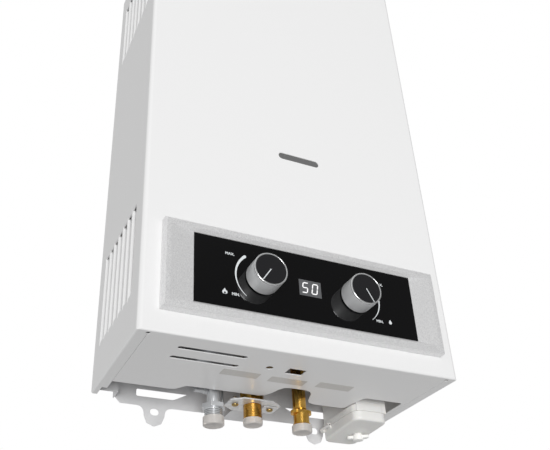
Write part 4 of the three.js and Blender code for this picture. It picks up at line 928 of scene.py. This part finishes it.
class HEATER_OT_screws(bpy.types.Operator):
    """Pan-head screws with a cross recess"""

    bl_idname = "heater.screws"
    bl_label = "Screws"

    def execute(self, context):
        head, deep, steps = 2.1 * MM, 1.2 * MM, 8
        for node, heads_up in (
            ("cover_screw_left", True), ("cover_screw_right", True),
            ("outlet_screw_left", False), ("outlet_screw_right", False),
        ):
            foot, radius, tall = upright(node)
            profile = []
            for k in range(steps + 1):
                turn = math.pi / 2 * k / steps
                profile.append((radius * math.sin(turn), head * 0.8 * (1 - math.cos(turn))))
            profile += [(radius, head), (0.5 * radius, head), (0.5 * radius, tall), (0, tall)]
            carrier = carrier_for(turned_mesh(profile, 48))
            cutter = carrier_for(self.cross(1.1 * radius, 0.28 * radius, deep))
            recess = carrier.modifiers.new("cross", "BOOLEAN")
            recess.object = cutter
            recess.operation = "DIFFERENCE"
            recess.solver = "EXACT"
            mesh = settled(carrier)
            bpy.data.objects.remove(cutter)
            smooth(mesh)
            if heads_up:
                mesh.transform(about(180, "X"))
                foot.z += tall
            # each cross stands at an angle of its own
            mesh.transform(about(31 * (1 + foot.x * 10), "Z"))
            dress(f"{node}.headed", moved(mesh, foot), node)
        return {"FINISHED"}

    def cross(self, long, wide, deep):
        """A cross-shaped cutter that narrows inwards."""
        form = bmesh.new()
        for turned in (False, True):
            ends = []
            for z, grow in ((-deep, 1), (deep, 0.35)):
                x, y = long / 2 * grow, wide / 2
                corners = ((-x, -y), (x, -y), (x, y), (-x, y))
                ends.append([(-v, u, z) if turned else (u, v, z) for u, v in corners])
            add_prism(form, *ends)
        return mesh_from(form)


class HEATER_OT_exchanger(bpy.types.Operator):
    """The finned block's shell and thin fins"""

    bl_idname = "heater.exchanger"
    bl_label = "Finned block"

    def execute(self, context):
        sizes = context.scene.heater_sizes
        low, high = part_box("heat_exchanger")
        half, front, back = 125 * MM, at(0, 60, 0).y, at(0, 162, 0).y  # the shell's sides, as on the solid
        sheet, corner, inside = 1 * MM, 10 * MM, 2 * MM
        form = bmesh.new()
        rings = []
        for inset, z in ((0, low.z), (0, high.z), (sheet, high.z), (sheet, low.z)):
            outline = round_rectangle(-half, half, front, back, corner, 8, inset)
            rings.append([form.verts.new((x, y, z)) for x, y in outline])
        for k, ring in enumerate(rings):
            band(form, ring, rings[(k + 1) % 4])
        shell = mesh_from(form)
        smooth(shell)
        dress("exchanger_shell", shell, "heat_exchanger")
        fin = self.fin(front + sheet, back - sheet, low.z + inside, high.z - inside, sizes.fin_thick)
        step = (2 * half - 2 * corner) / (sizes.fin_count - 1)
        moved(fin, (corner - half, 0, 0))
        fins = grown(fin, "row", "bare_copper", Count=sizes.fin_count, Step=(step, 0, 0))
        show("exchanger_fins", fins, body_of("heat_exchanger"), "bare_copper", "copper")
        return {"FINISHED"}

    def fin(self, front, back, low, high, thick):
        """One thin upright plate with a waved lower edge."""
        waves, steps, deep = 6, 24, 1.6 * MM
        outline = [(front, high), (back, high)]
        for k in range(steps + 1):
            share = k / steps
            dip = deep * (1 - math.cos(2 * math.pi * waves * share)) / 2
            outline.append((back + (front - back) * share, low + dip))
        form = bmesh.new()
        add_prism(form, *([(x, y, z) for y, z in outline] for x in (-thick / 2, thick / 2)))
        return mesh_from(form)


class HEATER_OT_pipes(bpy.types.Operator):
    """Round pipes: coil, cold and hot pipe, riser and fin tubes"""

    bl_idname = "heater.pipes"
    bl_label = "Pipes"

    # The bends' radius and the path's corners, as on the solids, in millimetres
    RUNS = {
        "cold_pipe": (12, (
            (80.3, 96, 64), (131.3, 96, 64), (131.3, 38, 160), (131.3, 38, 285), (131.3, 68.4, 285),
        )),
        "hot_pipe": (12, (
            (-131.3, 145, 426.3), (-149, 145, 426.3), (-149, 145, 155), (-5.6, 145, 135), (-5.6, 145, 40),
            (-5.6, 124, 22), (-5.6, 124, 16.3),
        )),
        "gas_riser": (12, ((-52, 110, 108.3), (-52, 110, 126), (-52, 50, 178), (-52, 50, 197.7))),
    }

    def execute(self, context):
        for node, (bend, corners) in {**self.RUNS, "exchanger_coil": (15, self.coil())}.items():
            dress(f"{node}.round", self.pipe(corners, bend, FINISH_OF[node][0]), node)
        reach, level, front, deep, count = 131, 426.3, 60, 102, 3  # of the tubes through the fins
        tubes = []
        for k in range(count):
            y = front + deep * (k + 0.5) / count
            tubes.append(self.pipe(((-reach, y, level), (reach, y, level)), 0, "bare_copper"))
        show("fin_tubes", joined(tubes), body_of("heat_exchanger"), "bare_copper", "copper")
        return {"FINISHED"}

    def pipe(self, corners, bend, finish_name):
        """A pipe of 12 mm outside, along its corners."""
        path = bpy.data.meshes.new("path")
        path.from_pydata([at(*corner) for corner in corners], [(k, k + 1) for k in range(len(corners) - 1)], [])
        return grown(path, "pipe", finish_name, Section=6 * MM, Bend=bend * MM, Sides=24)

    def coil(self):
        """The corners of the coil round the chamber and of its rise to the first fin tube."""
        x, front, back, low, climb = 131.3, 53.7, 168.3, 285, 40
        corners = [(x, front + 15, low), (x, front + 30, low)]
        loop = ((x, back), (-x, back), (-x, front), (x, front))
        for k in range(8):
            corners.append((*loop[k % 4], low + climb * (k + 1) / 4))
        return [*corners, (x, 77, low + 2 * climb + 26), (x, 77, 420)]


class HEATER_OT_collar(bpy.types.Operator):
    """The flue collar with its swaged bead"""

    bl_idname = "heater.collar"
    bl_label = "Flue collar"

    def execute(self, context):
        foot, _, tall = upright("flue_collar")
        radius, sheet, flange, bead = 55 * MM, 1.2 * MM, 11 * MM, 1.2 * MM
        bead_z = tall - 8 * MM
        profile = [(radius - sheet, 0), (radius + flange, 0), (radius + flange, sheet)]
        profile += [(radius + 1.5 * sheet, sheet), (radius + 0.5 * sheet, 1.5 * sheet), (radius, 2.5 * sheet)]
        profile.append((radius, bead_z - 2 * bead))
        for k in range(1, 9):
            turn = math.pi * k / 9
            profile.append((radius + bead * math.sin(turn), bead_z - 2 * bead * math.cos(turn)))
        profile += [(radius, bead_z + 2 * bead), (radius, tall), (radius - sheet, tall)]
        dress("collar_swaged", moved(turned_mesh(profile, 128), foot), "flue_collar")
        return {"FINISHED"}


class HEATER_OT_battery(bpy.types.Operator):
    """The rounded battery lid, its latch, the cells and the springs under them"""

    bl_idname = "heater.battery"
    bl_label = "Battery box"

    CELLS = ("battery_cell_front", "battery_cell_rear")

    def execute(self, context):
        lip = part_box("battery_door")[0].z + 5 * MM
        hub, hub_reach = middle("battery_latch").xy, 8 * MM

        def lower_rim(edge):
            beneath = any(face.normal.z < -0.9 for face in edge.link_faces)
            beside = any(abs(face.normal.z) < 0.3 for face in edge.link_faces)
            low = all(corner.co.z < lip for corner in edge.verts)
            at_hub = all((corner.co.xy - hub).length < hub_reach for corner in edge.verts)
            return beneath and beside and low and not at_hub

        mesh = eased_mesh("battery_door", context.scene.heater_sizes.lid_edge, 5, lower_rim)
        dress("battery_lid", mesh, "battery_door")
        self.latch()
        for node in self.CELLS:
            self.cell(node)
        self.springs()
        return {"FINISHED"}

    def latch(self):
        """The lid's latch: a round hub with two rounded wings below, on its stem and clip."""
        low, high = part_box("battery_latch")
        seat = low.z + 4 * MM
        hub, edge, bottom = 6 * MM, 1.2 * MM, seat - 5.5 * MM
        stem, clip, clip_low = 2.5 * MM, 4 * MM, high.z - 1.5 * MM
        profile = [(0, bottom), *arc(hub - edge, bottom + edge, edge, -90, 90, 5), (hub, seat), (stem, seat)]
        profile += [(stem, clip_low), (clip, clip_low), (clip, high.z), (0, high.z)]
        span, end, wing_edge = 24 * MM, 3 * MM, 0.9 * MM
        under, over = seat - 3.2 * MM, seat - 0.2 * MM
        reach = span / 2 - end
        outline = arc(reach, 0, end, -90, 180, 12) + arc(-reach, 0, end, 90, 180, 12)
        form = bmesh.new()
        add_prism(form, *([(x, y, z) for x, y in outline] for z in (under, over)))
        lower = [side for side in form.edges if all(corner.co.z < under + 0.2 * MM for corner in side.verts)]
        bmesh.ops.bevel(form, geom=lower, offset=wing_edge, segments=3, profile=0.5, affect="EDGES")
        wings = mesh_from(form)
        wings.transform(about(-34, "Z"))
        centre = middle("battery_latch")
        mesh = moved(joined([turned_mesh(profile, 48), wings]), (centre.x, centre.y, 0))
        smooth(mesh)
        dress("latch_wings", mesh, "battery_latch")

    def cell(self, node):
        """One cell: a dark sleeve between bright steel ends."""
        foot, radius, tall = upright(node)
        can = tall - 1.5 * MM  # the nub takes the rest
        low, edge = 0.3 * MM, 0.4 * MM
        inner, wall, nub = radius - 1.5 * MM, radius - 1.6 * MM, 4.5 * MM
        sleeve = [(radius - edge, low), (radius, 0.8 * MM), (radius, can - 0.8 * MM), (radius - edge, can - low)]
        sleeve += [(inner, can - low), (inner, low)]
        ends = [(0, 0), (wall, 0), (wall, can), (5 * MM, can), (nub, can + edge), (nub, tall - low)]
        ends += [(4.2 * MM, tall), (0, tall)]
        dress(f"{node}.sleeve", moved(turned_mesh(sleeve), foot), node)
        show(f"{node}.can", moved(turned_mesh(ends), foot), body_of(node), "drawn_stainless", "stainless")

    def springs(self):
        """A conical wire spring under each cell, on one strip."""
        low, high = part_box("door_contact")
        turns, wide, strip = 2.5, 6 * MM, 0.5 * MM
        meshes = []
        for node in self.CELLS:
            centre = middle(node)
            spring = grown(
                bpy.data.meshes.new("path"), "thread", "machined_brass", Radius=5.6 * MM, End_Radius=2.6 * MM,
                Pitch=(high.z - low.z - 1 * MM) / turns, Turns=turns, Section=0.35 * MM, Sides=8,
            )
            meshes.append(moved(spring, (centre.x, centre.y, low.z + 0.6 * MM)))
        first, last = (middle(node).y for node in self.CELLS)
        outline = ((low.x, first), (low.x + wide, first), (low.x + wide, last), (low.x, last))
        form = bmesh.new()
        add_prism(form, *([(x, y, z) for x, y in outline] for z in (low.z, low.z + strip)))
        dress("door_springs", joined([*meshes, mesh_from(form)]), "door_contact")


class HEATER_OT_valves(bpy.types.Operator):
    """Screws round the diaphragm cover"""

    bl_idname = "heater.valves"
    bl_label = "Valve screws"

    def execute(self, context):
        centre = middle("diaphragm_cover")
        circle, head, edge, tall = 28.5 * MM, 2.9 * MM, 0.7 * MM, 2.2 * MM
        screw = turned_mesh([(0, 0), (head - edge, 0), (head, edge), (head, tall), (0, tall)], 24)
        mesh = grown(moved(screw, (circle, 0, 0)), "ring", "bright_zinc", Count=6)
        face = at(-12.3, 0, 0).x - tall
        mesh.transform(Matrix.Translation((face, centre.y, centre.z)) @ about(90, "Y"))
        show("diaphragm_screws", mesh, body_of("diaphragm_cover"), "bright_zinc", "zinc_plate")
        return {"FINISHED"}


class HEATER_OT_stage(bpy.types.Operator):
    """Floor, soft light and the camera at the photograph's angle"""

    bl_idname = "heater.stage"
    bl_label = "Stage"

    def execute(self, context):
        scene = context.scene
        self.floor()
        self.sky(scene)
        lamp = bpy.data.lights.new("key", "SUN")
        lamp.energy = 1.96
        lamp.angle = math.radians(30)
        key = bpy.data.objects.new("key", lamp)
        key.rotation_euler = Vector((0.3, 0.93, 0.2)).to_track_quat("-Z", "Y").to_euler()
        scene.collection.objects.link(key)
        camera = bpy.data.cameras.new("camera")
        camera.sensor_width = 36
        camera.lens = 48.91
        camera.shift_x = 0.04
        camera.shift_y = 0.06
        camera.clip_start = 0.01
        camera.clip_end = 50
        seat = bpy.data.objects.new("camera", camera)
        seat.location = (-0.32670, -0.73884, -0.85153)
        seat.rotation_euler = [math.radians(turn) for turn in (121.5523, 1.9157, -24.4321)]
        scene.collection.objects.link(seat)
        scene.camera = seat
        scene.view_settings.view_transform = "Standard"
        return {"FINISHED"}

    def floor(self):
        """A pale floor, well below the heater on its wall."""
        half, level = 1.5, -1.8
        form = bmesh.new()
        corners = ((-half, -half), (half, -half), (half, half), (-half, half))
        form.faces.new([form.verts.new((x, y, level)) for x, y in corners])
        mesh = plain_mesh(form)
        mesh.name = "floor"
        finish("pale_floor", "#E8E8E8", 0.8)
        mesh.materials.append(bpy.data.materials["pale_floor"])
        floor = bpy.data.objects.new("floor", mesh)
        bpy.context.scene.collection.objects.link(floor)

    def sky(self, scene):
        """White behind everything, a wide soft light, and a dim room for reflections."""
        world = bpy.data.worlds.new("studio")
        world.use_nodes = True
        scene.world = world
        tree = world.node_tree
        tree.nodes.clear()
        output = add(tree, "ShaderNodeOutputWorld")
        path = add(tree, "ShaderNodeLightPath")
        place = add(tree, "ShaderNodeTexCoord")
        across = add(tree, "ShaderNodeVectorMath", {1: (-0.75, 1, 0)}, operation="DOT_PRODUCT")
        room = add(tree, "ShaderNodeMapRange", {
            "From Min": -1.05, "From Max": 0.2, "To Min": 0.1, "To Max": 0.6,
        })
        mirrored = add(tree, "ShaderNodeMath", operation="ADD", use_clamp=True)
        white = (1, 1, 1, 1)
        glow = add(tree, "ShaderNodeBackground", {"Color": white, "Strength": 0.44})
        reflected = add(tree, "ShaderNodeBackground", {"Color": white})
        backdrop = add(tree, "ShaderNodeBackground", {"Color": white, "Strength": 1})
        seen = add(tree, "ShaderNodeMixShader")
        mixed = add(tree, "ShaderNodeMixShader")
        wire(
            tree,
            (place, "Generated", across, 0), (across, "Value", room, "Value"),
            (room, "Result", reflected, "Strength"), (path, "Is Glossy Ray", mirrored, 0),
            (path, "Is Transmission Ray", mirrored, 1), (mirrored, "Value", seen, "Fac"),
            (glow, "Background", seen, 1), (reflected, "Background", seen, 2),
            (path, "Is Camera Ray", mixed, "Fac"), (seen, "Shader", mixed, 1),
            (backdrop, "Background", mixed, 2), (mixed, "Shader", output, "Surface"),
        )


STEPS = (
    HEATER_OT_finishes, HEATER_OT_trees, HEATER_OT_eased, HEATER_OT_rear_plate, HEATER_OT_bezel,
    HEATER_OT_knobs, HEATER_OT_dials, HEATER_OT_display, HEATER_OT_labels, HEATER_OT_threads,
    HEATER_OT_caps, HEATER_OT_screws, HEATER_OT_exchanger, HEATER_OT_pipes, HEATER_OT_collar,
    HEATER_OT_battery, HEATER_OT_valves, HEATER_OT_stage,
)


class HEATER_PT_panel(bpy.types.Panel):
    """The heater's settings and steps"""

    bl_idname = "HEATER_PT_panel"
    bl_label = "Water heater"
    bl_space_type = "VIEW_3D"
    bl_region_type = "UI"
    bl_category = "Heater"

    def draw(self, context):
        layout = self.layout
        for group in (context.scene.heater_looks, context.scene.heater_sizes):
            for name in group.bl_rna.properties.keys():
                if name not in ("rna_type", "name"):
                    layout.prop(group, name)
        for step in STEPS:
            layout.operator(step.bl_idname)


CLASSES = (HeaterLooks, HeaterSizes, *STEPS, HEATER_PT_panel)


def register():
    """Makes the classes and settings known."""
    for made in CLASSES:
        bpy.utils.register_class(made)
    bpy.types.Scene.heater_looks = bpy.props.PointerProperty(type=HeaterLooks)
    bpy.types.Scene.heater_sizes = bpy.props.PointerProperty(type=HeaterSizes)


def unregister():
    """Takes the classes and settings away again."""
    del bpy.types.Scene.heater_sizes
    del bpy.types.Scene.heater_looks
    for made in reversed(CLASSES):
        bpy.utils.unregister_class(made)


def main():
    """Makes the classes and settings known and runs every step in order."""
    register()
    for step in STEPS:
        group, name = step.bl_idname.split(".")
        getattr(getattr(bpy.ops, group), name)()


if __name__ == "__main__":
    main()
